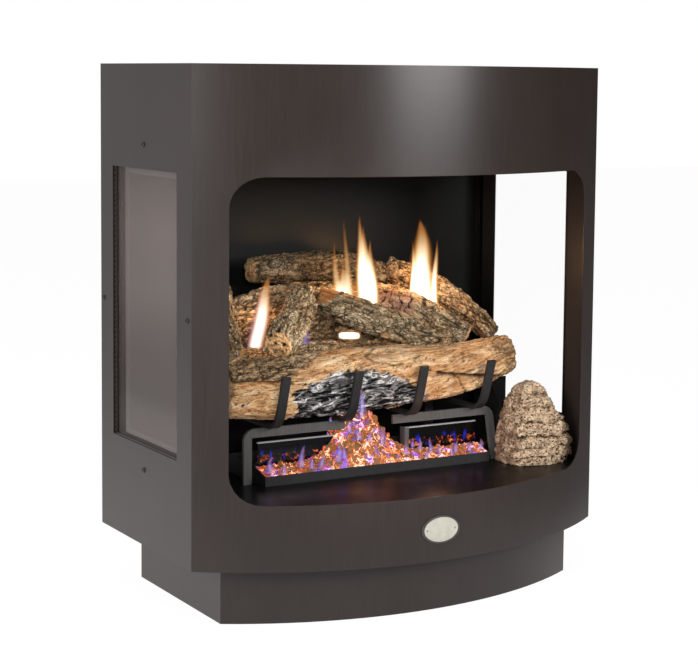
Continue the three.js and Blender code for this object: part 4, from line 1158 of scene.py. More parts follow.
# Ceramic rock with layered ledges
rock = {
    "ledges": [205, 221, 239, 261, 284, 311, 336],
    "voxel": 1.7 * mm,
    "smoothing": 8,
    "ledgeDepth": 5.0,
    "undercutDepth": 5.0,
    "lumpDepth": 2.4,
    "fineDepth": 0.8,
}


def rockMaterial():
    shader = Shader("ceramicRock")
    height = shader.attribute("height")
    facet = shader.attribute("facet")
    mottle = shader.noise(shader.place(), 30, 5, 0.65)
    speck = shader.noise(shader.place(), 380, 3, 0.6)
    pits = shader.cells(shader.place((1, 1, 1.5)), 150)
    some = shader.noise(shader.place(), 70, 2)
    holes = shader.math("MULTIPLY", shader.range(pits, 0.2, 0.32, 1, 0), shader.range(some, 0.4, 0.48))
    grains = shader.cells(shader.place(), 330)
    # Colour follows relief height: low and undercut parts darker as painted shade, lumps lighter.
    color = shader.ramp(height, [
        (0.0, tone(34, 26, 18)),
        (0.25, tone(98, 80, 60)),
        (0.5, tone(200, 170, 140)),
        (1.0, tone(240, 216, 186)),
    ])
    color = shader.mix(shader.range(mottle, 0.4, 0.7, 0, 0.5), color, tone(164, 136, 106))
    color = shader.mix(shader.range(grains, 0.2, 0.6, 0, 0.3), color, tone(116, 94, 72))
    # Chips and pits are darkened as painted shade in their hollows.
    chips = shader.wrinkles(shader.place((1, 1, 1.8)), 70, 0.036, 4, 0.8)
    color = shader.mix(shader.math("MULTIPLY", chips, 0.6), color, tone(44, 34, 24))
    color = shader.mix(facet, color, tone(120, 90, 72))
    color = shader.mix(shader.math("MULTIPLY", holes, 0.95), color, tone(24, 18, 12))
    color = shader.mix(shader.range(speck, 0.58, 0.72, 0, 0.4), color, tone(66, 50, 34))
    relief = shader.math("SUBTRACT", speck, shader.math("ADD", shader.math("MULTIPLY", holes, 1.5), chips))
    shader.set(color=color, roughness=0.92, specular=0.12, normal=shader.bump(relief, 0.0017, 1.0))
    return shader.material


def sculptRock():
    piece = mergedCopy("control_rock", "ceramic_rock")
    remesh(piece, rock["voxel"], rock["smoothing"])
    mesh = piece.data
    points = pointsOf(mesh)
    normals = normalsOf(mesh)
    world = points / mm
    low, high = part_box("control_rock")
    centre = (np.array(low) + np.array(high))[:2] / 2 / mm
    outward = world[:, :2] - centre
    outward /= np.maximum(np.linalg.norm(outward, axis=1), 1)[:, None]
    facing = normals[:, 0] * outward[:, 0] + normals[:, 1] * outward[:, 1]
    outside = smoothstep(facing + 0.6 * normals[:, 2], -0.1, 0.3)
    warp = fractalNoise(world / 34, 5, 3)
    level = world[:, 2] + 5.5 * warp + 2.0 * fractalNoise(world / 9, 6, 2)
    ledges = np.array(rock["ledges"] + [400.0])
    below = np.clip(np.searchsorted(ledges, level) - 1, 0, len(ledges) - 2)
    share = np.clip((level - ledges[below]) / (ledges[below + 1] - ledges[below]), 0, 1)
    softer = 1 - 0.65 * smoothstep(world[:, 2], 285, 315)
    layer = (1 - share) ** 1.3 - 0.55
    undercut = smoothstep(share, 0.78, 1.0)
    leftFace = smoothstep(-normals[:, 0], 0.6, 0.85)
    broken = smoothstep(gradientNoise(world / 20, 31), -0.35, 0.15)
    ledgeLift = rock["ledgeDepth"] * layer - rock["undercutDepth"] * undercut * broken
    ledgeLift = ledgeLift * softer * (1 - 0.75 * leftFace)
    lumps = fractalNoise(world / np.array([13, 13, 9]), 9, 4, 0.6)
    fine = fractalNoise(world / 3.6, 13, 2)
    lift = ledgeLift + rock["lumpDepth"] * lumps + rock["fineDepth"] * fine
    setPoints(mesh, points + normals * (lift * outside * mm)[:, None])
    smoothFaces(mesh)
    # Under each ledge the rock is darkened as a painted shadow.
    dark = undercut * broken * softer * (1 - 0.7 * leftFace)
    height = 0.6 + 0.12 * layer + 0.25 * lumps + 0.15 * fine - 0.72 * dark
    setValues(mesh, "height", np.clip(height, 0, 1))
    setValues(mesh, "facet", 0.75 * leftFace * smoothstep(fractalNoise(world / 30, 33, 2), -0.3, 0.2))
    finishPiece(piece, rockMaterial(), "control_rock", ["control_rock"])


sculptRock()
print("rock sculpted")


# Ember bed with loose glowing lumps scattered over it. Each lump has a warmth of its own.
emberLooks = {
    "emberLump": {
        "threads": 0.05, "between": tone(6, 2, 2), "blue": tone(12, 18, 92), "ownWarmth": True,
    },
    "emberGround": {
        "threads": 0.085, "between": tone(48, 12, 12), "blue": tone(22, 38, 190), "ownWarmth": False,
    },
}


def emberMaterial(name):
    look = emberLooks[name]
    shader = Shader(name)
    place = shader.place()
    broad = shader.noise(place, 38, 3, 0.6)
    fine = shader.noise(place, 300, 3, 0.7)
    bluish = shader.range(shader.noise(place, 46, 2), 0.53, 0.64)
    threads = shader.wrinkles(place, 70, look["threads"], 3, 1.4)
    heat = shader.range(broad, 0.4, 0.58)
    if look["ownWarmth"]:
        heat = shader.math("MULTIPLY", heat, shader.attribute("warmth"))
    value = shader.math("MULTIPLY", threads, shader.math("ADD", shader.math("MULTIPLY", heat, 0.75), 0.3))
    glow = shader.ramp(value, [
        (0.0, tone(0, 0, 0)),
        (0.2, tone(80, 16, 4)),
        (0.45, tone(228, 76, 18)),
        (0.7, tone(255, 146, 76)),
        (0.95, tone(255, 226, 210)),
    ])
    haze = shader.mix(bluish, look["between"], look["blue"])
    shader.set(
        color=shader.mix(fine, tone(46, 32, 18), tone(164, 126, 80)),
        roughness=0.9,
        specular=0.2,
        emission=shader.mix(1.0, glow, haze, "ADD"),
        strength=1.4,
        normal=shader.bump(fine, 0.001, 0.8),
    )
    return shader.material


emberLump = emberMaterial("emberLump")
finishNode("ember_bed", emberMaterial("emberGround"), 60)

# The lumps lie inside this part of the bed, in metres, on faces that look up at least this much.
emberArea = {"x": (-0.224, 0.218), "y": (-0.045, 0.085), "leastRise": 0.25}
lump = {"kinds": 5, "firstSeed": 60, "cuts": 9, "stretch": (1.2, 0.95, 0.75), "ragged": 0.12}
emberSizes = {
    "embers_small": {
        "Density": 60000.0, "Spacing": 6.2 * mm, "Seed": 5,
        "Smallest": 2.2 * mm, "Largest": 4.4 * mm, "Coolest": 0.2, "Hottest": 1.25,
    },
    "embers_large": {
        "Density": 9000.0, "Spacing": 13.5 * mm, "Seed": 9,
        "Smallest": 5.4 * mm, "Largest": 8.6 * mm, "Coolest": 0.0, "Hottest": 0.45,
    },
}


# A ball of unit radius with flat cuts and a ragged surface
def lumpMesh(name, seed):
    work = bmesh.new()
    bmesh.ops.create_icosphere(work, subdivisions=2, radius=1.0)
    random = np.random.RandomState(seed)
    planes = random.normal(size=(lump["cuts"], 3))
    planes /= np.linalg.norm(planes, axis=1)[:, None]
    cuts = random.uniform(0.5, 0.8, size=lump["cuts"])
    for vertex in work.verts:
        point = np.array(vertex.co)
        for plane, cut in zip(planes, cuts):
            reach = point @ plane - cut
            if reach > 0:
                point = point - plane * reach
        vertex.co = point * np.array(lump["stretch"])
    mesh = bpy.data.meshes.new(name)
    work.to_mesh(mesh)
    work.free()
    points = pointsOf(mesh)
    ragged = lump["ragged"] * fractalNoise(points * 2.4, seed, 3)
    setPoints(mesh, points * (1 + ragged)[:, None])
    return mesh


def scatterTree(lumps):
    tree = ShapeTree("Scatter", {
        "Density": "NodeSocketFloat",
        "Spacing": "NodeSocketFloat",
        "Seed": "NodeSocketInt",
        "Smallest": "NodeSocketFloat",
        "Largest": "NodeSocketFloat",
        "Coolest": "NodeSocketFloat",
        "Hottest": "NodeSocketFloat",
    })
    spread = tree.node("GeometryNodeDistributePointsOnFaces", distribute_method="POISSON")
    tree.link(tree.given["Geometry"], spread.inputs["Mesh"])
    tree.link(tree.given["Spacing"], spread.inputs["Distance Min"])
    tree.link(tree.given["Density"], spread.inputs["Density Max"])
    tree.link(tree.given["Seed"], spread.inputs["Seed"])
    turn = tree.node("FunctionNodeRandomValue", data_type="FLOAT_VECTOR")
    turn.inputs[1].default_value = (6.283, 6.283, 6.283)
    turn.inputs["Seed"].default_value = 4
    instances = tree.node("GeometryNodeInstanceOnPoints")
    instances.inputs["Pick Instance"].default_value = True
    tree.link(spread.outputs["Points"], instances.inputs["Points"])
    tree.link(tree.shapes(lumps), instances.inputs["Instance"])
    tree.link(turn.outputs[0], instances.inputs["Rotation"])
    tree.link(tree.random(tree.given["Smallest"], tree.given["Largest"], 7), instances.inputs["Scale"])
    store = tree.node("GeometryNodeStoreNamedAttribute", data_type="FLOAT", domain="INSTANCE")
    store.inputs["Name"].default_value = "warmth"
    tree.link(instances.outputs[0], store.inputs["Geometry"])
    tree.link(tree.random(tree.given["Coolest"], tree.given["Hottest"], 11), store.inputs["Value"])
    tree.close(store.outputs[0], emberLump)
    return tree


def scatterEmbers(name, values, lumps):
    ground = mergedCopy("ember_bed", name)
    spot = pointsOf(ground.data)
    spot[:, 0] = np.clip(spot[:, 0], *emberArea["x"])
    spot[:, 1] = np.clip(spot[:, 1], *emberArea["y"])
    setPoints(ground.data, spot)
    work = bmesh.new()
    work.from_mesh(ground.data)
    work.normal_update()
    hidden = [face for face in work.faces if face.normal.z < emberArea["leastRise"]]
    bmesh.ops.delete(work, geom=hidden, context="FACES")
    work.to_mesh(ground.data)
    work.free()
    scatterTree(lumps).run(ground, values)
    finishPiece(ground, emberLump, "root", [])
    print(name, len(ground.data.polygons))


# The shapes that a tree places stand in a collection that is removed again.
def shapeCollection(name, meshes):
    shapes = bpy.data.collections.new(name)
    for mesh in meshes:
        shapes.objects.link(bpy.data.objects.new(mesh.name, mesh))
    return shapes


def removeShapes(shapes):
    for shape in list(shapes.objects):
        bpy.data.objects.remove(shape)
    bpy.data.collections.remove(shapes)


def makeEmbers():
    meshes = [lumpMesh(f"lump{index}", lump["firstSeed"] + index) for index in range(lump["kinds"])]
    lumps = shapeCollection("emberLumps", meshes)
    for name, values in emberSizes.items():
        scatterEmbers(name, values, lumps)
    removeShapes(lumps)


makeEmbers()
print("embers scattered")


# Flames: crossed sheets whose colour and opacity are stored on their points
def flameMaterial():
    shader = Shader("gasFlame")
    shader.set(
        color=(0, 0, 0, 1),
        roughness=1.0,
        specular=0.0,
        emission=shader.attribute("fireTint", "Color"),
        strength=1.0,
        alpha=shader.attribute("veil"),
    )
    return shader.material


gasFlame = flameMaterial()


# A tongue is its foot, its tip, half its width, its height, its strength and how late it narrows.
def flameField(u, v, tongues, seed):
    veil = np.zeros(len(u))
    core = np.zeros(len(u))
    for foot, tip, width, height, strength, late in tongues:
        share = v / height
        bend = foot + (tip - foot) * np.clip(share, 0, 1) ** 1.4
        bend = bend + 0.12 * width * np.sin(7.0 * share + seed + foot * 9)
        reach = width * (1 - np.clip(share, 0, 1) ** late)
        side = np.abs(u - bend) / np.maximum(reach, 0.02)
        body = (1 - smoothstep(side, 0.5, 1.35)) * (1 - 0.6 * smoothstep(share, 0.4, 1.0))
        body = body * (1 - smoothstep(share, 0.93, 1.02)) * strength
        heart = (1 - smoothstep(side, 0.2, 1.15)) * (1 - smoothstep(share, 0.38, 1.04)) * strength
        veil = 1 - (1 - veil) * (1 - body)
        core = 1 - (1 - core) * (1 - heart)
    return veil, core


def flameColor(core, blue):
    stops = [0.0, 0.15, 0.4, 0.7, 1.0]
    red = np.interp(core, stops, [linear(196), linear(232), 1.05, 1.5, 2.2])
    green = np.interp(core, stops, [linear(116), linear(158), linear(212), 1.1, 1.9])
    pale = np.interp(core, stops, [linear(44), linear(84), linear(150), 0.72, 1.6])
    color = np.column_stack([red, green, pale, np.ones(len(core))])
    purple = np.array([linear(34), linear(60), linear(222), 1.0])
    share = (blue * (1 - 0.6 * np.clip(core, 0, 1)))[:, None]
    return color * (1 - share) + purple * share


flames = {
    "flame_left": {
        "base": (-185.7, 60, 425), "width": 46, "height": 134, "seed": 2,
        "tongues": [(-0.34, 0.5, 0.62, 0.98, 1.0, 3.6)], "blue": 0.34,
    },
    "flame_centre": {
        "base": (-13.1, 45, 479), "width": 97, "height": 184, "seed": 5,
        "tongues": [
            (0.44, 0.4, 0.27, 0.98, 1.0, 1.7), (0.58, 0.57, 0.25, 0.87, 1.0, 2.0),
            (0.74, 0.8, 0.24, 0.73, 1.0, 2.0), (-0.12, -0.14, 0.15, 0.93, 0.45, 1.8),
            (-0.5, -0.58, 0.2, 0.71, 0.55, 1.5), (-0.32, -0.3, 0.2, 0.6, 0.4, 1.6),
            (-0.3, -0.3, 0.6, 0.46, 0.78, 1.8),
        ],
        "blue": 0.0,
    },
    "flame_right": {
        "base": (147, 50, 481), "width": 62, "height": 169, "seed": 8,
        "tongues": [
            (0.04, -0.44, 0.66, 0.98, 1.0, 3.4), (0.7, 0.64, 0.24, 0.75, 0.9, 2.0),
            (-0.52, -0.78, 0.22, 0.74, 0.8, 1.8), (-0.62, -0.76, 0.15, 0.62, 0.6, 1.6),
            (0.02, 0.0, 0.8, 0.55, 0.95, 2.4),
        ],
        "blue": 0.0,
    },
    "flame_tall_blue": {
        "base": (-61, -81, 314), "width": 18, "height": 62, "seed": 4,
        "tongues": [(0.0, -0.2, 0.6, 1.0, 0.66, 2.0)], "blue": 1.9,
    },
    "flame_behind": {
        "base": (-99, 62, 425), "width": 34, "height": 44, "seed": 3,
        "tongues": [(0.0, 0.1, 0.6, 1.0, 0.5, 1.4)], "blue": 1.6,
    },
}

# Small blue flames over the embers: X, Z at the foot, width and height in millimetres
flamelets = [
    (-222, 226, 15, 34), (-161, 230, 14, 48), (-140, 226, 11, 26), (-121, 228, 12, 30), (-88, 232, 17, 44),
    (-76, 240, 11, 30), (-21, 226, 12, 30), (-6, 228, 10, 24), (15, 224, 10, 26), (32, 222, 11, 24),
    (2, 254, 12, 44), (-41, 318, 16, 56), (-66, 284, 10, 30), (-46, 268, 14, 34), (-24, 262, 12, 30),
    (-12, 240, 10, 26), (52, 232, 10, 30), (80, 238, 9, 28), (104, 230, 10, 36), (124, 226, 8, 26),
    (158, 226, 11, 30), (190, 220, 12, 30), (212, 226, 13, 26), (95, 222, 9, 22), (150, 220, 9, 22),
    (-195, 222, 11, 24), (-104, 306, 7, 12), (66, 244, 9, 22),
]
# All of them stand at the same Y and share one tongue.
flamelet = {"y": -47, "widthShare": 1.35, "heightShare": 0.85, "reach": 0.62, "strength": 0.6, "late": 2.2}

# The sheets turn towards the camera. A crossing sheet is narrower and fainter.
sheet = {"turn": math.radians(30), "bow": 0.12, "crossWidth": 0.6, "crossVeil": 0.5, "footFade": 0.05}


def flameSheet(name, flame, quarter, columns, rows):
    half = flame["width"] * mm / 2
    us = np.linspace(-1, 1, columns)
    vs = np.linspace(0, 1, rows)
    gridU, gridV = np.meshgrid(us, vs)
    u, v = gridU.ravel(), gridV.ravel()
    angle = sheet["turn"] + (math.pi / 2 if quarter else 0)
    bow = sheet["bow"] * half * np.sin(3.0 * v + flame["seed"])
    size = sheet["crossWidth"] if quarter else 1.0
    most = sheet["crossVeil"] if quarter else 1.0
    x = u * half * size * math.cos(angle) - bow * math.sin(angle)
    y = -u * half * size * math.sin(angle) + bow * math.cos(angle)
    points = np.column_stack([x, y, v * flame["height"] * mm]) + np.array(flame["base"]) * mm
    mesh = gridMesh(name, points.reshape(rows, columns, 3))
    veil, core = flameField(u, v, flame["tongues"], flame["seed"])
    blue = flame["blue"] * (1 - smoothstep(v, 0.35, 0.95)) * smoothstep(-u, -0.9, 0.1)
    setValues(mesh, "veil", np.clip(veil, 0, 1) * most * smoothstep(v, 0, sheet["footFade"]))
    layer = mesh.attributes.new("fireTint", "FLOAT_COLOR", "POINT")
    layer.data.foreach_set("color", flameColor(core, np.clip(blue, 0, 1)).astype(np.float32).ravel())
    smoothFaces(mesh)
    piece = newObject(name, mesh)
    finishPiece(piece, gasFlame, "root", [])


def makeFlames():
    for name, flame in flames.items():
        flameSheet(name, flame, False, 49, 81)
        flameSheet(name + "_cross", flame, True, 25, 41)
    for index, (x, z, width, height) in enumerate(flamelets):
        lean = 0.3 * math.sin(index * 2.3)
        small = {
            "base": (x, flamelet["y"], z),
            "width": flamelet["widthShare"] * width,
            "height": flamelet["heightShare"] * height,
            "tongues": [(0.0, lean, flamelet["reach"], 1.0, flamelet["strength"], flamelet["late"])],
            "seed": index,
            "blue": 1.9,
        }
        flameSheet(f"flamelet_{index + 1}", small, False, 13, 17)


# Small lamps in the flames and in front of the embers light what is round them.
fireGlow = {
    "powers": {"flame_left": 0.2, "flame_centre": 0.4, "flame_right": 1.2},
    "flameColor": (1.0, 0.55, 0.22),
    "flameRadius": 0.02,
    "heightShare": 0.45,
    "emberPower": 0.11,
    "emberColor": (1.0, 0.48, 0.3),
    "emberRadius": 0.03,
    "emberPlace": (0.07, -0.12, 0.29),
}


def newLamp(name, kind, power, place, target=None):
    data = bpy.data.lights.new(name, kind)
    data.energy = power
    made = newObject(name, data)
    made.location = place
    if target:
        aim = Vector(target) - Vector(place)
        made.rotation_mode = "QUATERNION"
        made.rotation_quaternion = aim.to_track_quat("-Z", "Y")
    return data


def makeFireGlow():
    for name, power in fireGlow["powers"].items():
        x, y, z = flames[name]["base"]
        place = Vector((x, y, z + fireGlow["heightShare"] * flames[name]["height"])) * mm
        data = newLamp(name + "Glow", "POINT", power, place)
        data.shadow_soft_size = fireGlow["flameRadius"]
        data.color = fireGlow["flameColor"]
    data = newLamp("emberGlow", "POINT", fireGlow["emberPower"], fireGlow["emberPlace"])
    data.shadow_soft_size = fireGlow["emberRadius"]
    data.color = fireGlow["emberColor"]


makeFlames()
makeFireGlow()
print("flames made")


# Folded flange at the inner end of the right ember plate
flange = {
    "x": 70.6, "frontY": -13.6, "backY": 5, "low": 236, "high": 274.5,
    "radius": 2.4, "lap": 5.0, "thickness": 0.8, "softEdge": 0.2,
}


def makeFlange():
    radius = flange["radius"]
    centreX, centreY = flange["x"] + radius, flange["frontY"] + radius
    path = [(centreX + flange["lap"], flange["frontY"])]
    for degrees in np.linspace(270, 180, 9):
        angle = math.radians(degrees)
        path.append((centreX + radius * math.cos(angle), centreY + radius * math.sin(angle)))
    path.append((flange["x"], flange["backY"]))
    heights = np.linspace(flange["low"], flange["high"], 6)
    rows = [[(x * mm, y * mm, z * mm) for z in heights] for x, y in path]
    piece = newObject("ember_plate_flange", gridMesh("ember_plate_flange", rows))
    thicken = piece.modifiers.new("Thicken", "SOLIDIFY")
    thicken.thickness = flange["thickness"] * mm
    thicken.offset = 0
    soften = piece.modifiers.new("Soften", "BEVEL")
    soften.width = flange["softEdge"] * mm
    soften.segments = 2
    bakeModifiers(piece)
    smoothFaces(piece.data)
    finishPiece(piece, charcoalSteel, "root", [])


makeFlange()


# White-hot slot in the middle logs, with a pale chipped rim
hotSlot = {
    "centre": (-5, 62, 438.0), "halfWidth": 18.5, "halfHeight": 6.0, "squareness": 0.55,
    "rim": 3.6, "lift": 3.0, "chips": 0.5, "turnedBack": 2.5,
}


def slotMaterial():
    shader = Shader("slotRim")
    hot = shader.attribute("hot")
    cloud = shader.noise(shader.place(), 160, 4)
    shader.set(
        color=shader.mix(shader.range(cloud, 0.3, 0.7), tone(150, 108, 68), tone(214, 178, 132)),
        roughness=0.9,
        specular=0.15,
        emission=shader.mix(hot, (0, 0, 0, 1), (1.0, 0.93, 0.9, 1)),
        strength=1.15,
        normal=shader.bump(cloud, 0.0012, 0.8),
    )
    return shader.material


def makeSlot():
    angles = -np.linspace(0, 2 * math.pi, 72, endpoint=False)
    power = hotSlot["squareness"]
    unitX = np.sign(np.cos(angles)) * np.abs(np.cos(angles)) ** power
    unitZ = np.sign(np.sin(angles)) * np.abs(np.sin(angles)) ** power
    shares = np.concatenate([np.linspace(0, 1, 8), np.linspace(1, 2, 12)[1:]])
    rows, hots = [], []
    for share in shares:
        inner = min(share, 1.0)
        outer = max(share - 1.0, 0.0)
        grow = hotSlot["rim"] * outer
        across = (hotSlot["halfWidth"] * inner + grow) * unitX
        rise = (hotSlot["halfHeight"] * inner + grow) * unitZ
        rise = rise + hotSlot["chips"] * np.sin(angles * 5) * outer
        forward = hotSlot["lift"] * math.sin(math.pi * min(outer * 0.9, 1.0))
        forward -= hotSlot["turnedBack"] * max(outer - 0.6, 0) / 0.4
        x = across * math.cos(sheet["turn"]) - forward * math.sin(sheet["turn"])
        y = -across * math.sin(sheet["turn"]) - forward * math.cos(sheet["turn"])
        rows.append(np.column_stack([x, y, rise]) + np.array(hotSlot["centre"]))
        hots.append(np.full(len(angles), float(share < 1.05)))
    mesh = gridMesh("hot_slot", np.array(rows) * mm, True)
    setValues(mesh, "hot", np.concatenate(hots))
    weldMesh(mesh, 1e-7)
    smoothFaces(mesh)
    finishPiece(newObject("hot_slot", mesh), slotMaterial(), "root", [])


makeSlot()


# Rope seals around the side windows
rope = {
    "radius": 4.4, "step": 1.8, "sides": 18, "corner": 6.0,
    "clearance": 0.1, "braidPitch": 9, "braidDepth": 0.16,
}


def ropePath(low, high):
    centre = (low[0] + high[0]) / 2
    inset = (rope["radius"] + rope["clearance"]) * mm
    lowY, highY = low[1] + inset, high[1] - inset
    lowZ, highZ = low[2] + inset, high[2] - inset
    corner = rope["corner"] * mm
    points = []
    arcs = (
        (highY - corner, lowZ + corner, -90),
        (highY - corner, highZ - corner, 0),
        (lowY + corner, highZ - corner, 90),
        (lowY + corner, lowZ + corner, 180),
    )
    for cy, cz, start in arcs:
        for degrees in np.linspace(start, start + 90, 8):
            angle = math.radians(degrees)
            points.append((centre, cy + corner * math.cos(angle), cz + corner * math.sin(angle)))
    points.append(points[0])
    return np.array(points)


def evenly(path, step):
    lengths = np.linalg.norm(np.diff(path, axis=0), axis=1)
    stations = np.concatenate([[0], np.cumsum(lengths)])
    count = max(int(stations[-1] / step), 8)
    wanted = np.linspace(0, stations[-1], count, endpoint=False)
    return np.column_stack([np.interp(wanted, stations, path[:, axis]) for axis in range(3)]), wanted


def makeRope(side):
    low, high = (np.array(corner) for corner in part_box("window_gasket_" + side))
    points, run = evenly(ropePath(low, high), rope["step"] * mm)
    tangents = np.roll(points, -1, axis=0) - np.roll(points, 1, axis=0)
    tangents /= np.linalg.norm(tangents, axis=1)[:, None]
    outward = np.array([1.0, 0.0, 0.0])
    beside = np.cross(tangents, outward)
    angles = np.linspace(0, 2 * math.pi, rope["sides"], endpoint=False)
    pitch = 2 * math.pi / (rope["braidPitch"] * mm)
    first = np.abs(np.sin(pitch * run[:, None] / 2 + 1.5 * angles[None, :]))
    second = np.abs(np.sin(pitch * run[:, None] / 2 - 1.5 * angles[None, :]))
    braid = np.maximum(first, second)
    depth = rope["braidDepth"]
    radius = rope["radius"] * mm * (1 - depth + depth * braid)
    rows = (
        points[:, None, :]
        + radius[..., None] * np.cos(angles)[None, :, None] * outward
        + radius[..., None] * np.sin(angles)[None, :, None] * beside[:, None, :]
    )
    rows = np.concatenate([rows, rows[:1]])
    mesh = gridMesh("rope_seal_" + side, rows, True)
    values = np.concatenate([braid, braid[:1]]).ravel()
    piece = newObject("rope_seal_" + side, mesh)
    setValues(mesh, "braid", np.clip((values - 0.55) / 0.45, 0, 1))
    weldMesh(mesh, 1e-6, True)
    smoothFaces(mesh)
    finishPiece(piece, ropeMaterial, "root", ["window_gasket_" + side])


for side in ("left", "right"):
    makeRope(side)
print("rope seals made")


# Pan-head screws of the side windows, one shape placed by Geometry Nodes
screw = {
    "headRadius": 4.5,
    "headHeight": 3.0,
    "headEdge": 1.0,
    "shankRadius": 2.4,
    "shankLength": 7.0,
    "recessReach": 2.6,
    "recessHalf": 0.55,
    "recessDepth": 1.6,
    "recessEdge": 0.12,
    "recessFoot": 0.3,
    "recessLip": 0.1,
    "rings": 24,
    "spokes": 64,
}


def screwMesh():
    angles = np.linspace(0, 2 * math.pi, screw["spokes"], endpoint=False)
    unit = np.column_stack([np.cos(angles), np.sin(angles)])
    rows = []
    for radius in np.linspace(0, screw["headRadius"], screw["rings"]):
        across = np.abs(unit * radius)
        half, edge = screw["recessHalf"], screw["recessEdge"]
        reach = screw["recessReach"]
        slotSide = 1 - smoothstep(across.min(axis=1), half - edge, half + edge)
        slotEnd = 1 - smoothstep(across.max(axis=1), reach - screw["recessFoot"], reach + screw["recessLip"])
        dome = math.sqrt(max(1 - (radius / screw["headRadius"]) ** 2, 0))
        height = screw["headEdge"] + (screw["headHeight"] - screw["headEdge"]) * dome
        rows.append(np.column_stack([unit * radius, height - screw["recessDepth"] * slotSide * slotEnd]))
    outline = (
        (screw["headRadius"], 0),
        (screw["shankRadius"], 0),
        (screw["shankRadius"], -screw["shankLength"]),
        (0, -screw["shankLength"]),
    )
    for radius, height in outline:
        rows.append(np.column_stack([unit * radius, np.full(len(angles), height)]))
    mesh = gridMesh("screw", rows, True)
    weldMesh(mesh, 1e-5, True)
    return mesh


def screwTree(shapes):
    tree = ShapeTree("Screws", {
        "Size": "NodeSocketFloat",
        "Turn": "NodeSocketFloat",
        "Seed": "NodeSocketInt",
    })
    spin = tree.node("ShaderNodeCombineXYZ")
    tree.link(tree.random(0.0, tree.given["Turn"], tree.given["Seed"]), spin.inputs[2])
    outward = tree.node("GeometryNodeInputNamedAttribute", data_type="FLOAT_VECTOR")
    outward.inputs["Name"].default_value = "outward"
    aim = tree.node("FunctionNodeAlignRotationToVector", axis="Z")
    tree.link(spin.outputs[0], aim.inputs["Rotation"])
    tree.link(outward.outputs[0], aim.inputs["Vector"])
    instances = tree.node("GeometryNodeInstanceOnPoints")
    tree.link(tree.given["Geometry"], instances.inputs["Points"])
    tree.link(tree.shapes(shapes), instances.inputs["Instance"])
    tree.link(aim.outputs[0], instances.inputs["Rotation"])
    tree.link(tree.given["Size"], instances.inputs["Scale"])
    tree.close(instances.outputs[0], screwBlack)
    return tree


def makeScrews():
    ends = ("top", "bottom", "front", "rear")
    names = [f"side_screw_{side}_{end}" for side in ("left", "right") for end in ends]
    places, outward = [], []
    for name in names:
        low, high = (np.array(corner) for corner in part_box(name))
        sign = 1 if low[0] > 0 else -1
        outer = high[0] if sign > 0 else low[0]
        middle = (low + high) / 2
        places.append((outer - sign * screw["headHeight"] * mm, middle[1], middle[2]))
        outward.append((sign, 0, 0))
    mesh = bpy.data.meshes.new("side_screws")
    mesh.from_pydata(places, [], [])
    setVectors(mesh, "outward", np.array(outward, float))
    piece = newObject("side_screws", mesh)
    shapes = shapeCollection("screwShapes", [screwMesh()])
    screwTree(shapes).run(piece, {"Size": mm, "Turn": 1.5, "Seed": 3})
    removeShapes(shapes)
    smoothFaces(piece.data)
    piece.data.set_sharp_from_angle(angle=math.radians(35))
    finishPiece(piece, screwBlack, "root", names)
    print("side screws", len(piece.data.polygons))


makeScrews()


# Blank badge with a raised rim and two rivets, on the bow of the front
badge = {
    "rimShare": 0.86,
    "rimSlope": 0.04,
    "rimPaint": 0.015,
    "edgeShare": 0.97,
    "edgeDrop": 0.6,
    "field": 1.5,
    "rim": 2.45,
    "back": 0.35,
    "inset": 0.1,
    "rivetRadius": 1.7,
    "rivetHeight": 0.8,
    "rivetShare": 0.72,
    "rings": 60,
    "spokes": 96,
}


def badgeMaterial():
    shader = Shader("badgeEnamel")
    rim = shader.attribute("rim")
    rivet = shader.attribute("rivet")
    cloud = shader.noise(shader.place(), 60, 4)
    speck = shader.noise(shader.place(), 900, 2)
    color = shader.mix(shader.range(cloud, 0.3, 0.7), tone(170, 166, 153), tone(184, 181, 168))
    color = shader.mix(rim, color, tone(58, 54, 50))
    color = shader.mix(rivet, color, tone(120, 116, 108))
    shader.set(
        color=color,
        roughness=shader.range(cloud, 0.3, 0.7, 0.28, 0.4),
        specular=0.5,
        normal=shader.bump(speck, 0.00005, 0.2),
    )
    return shader.material


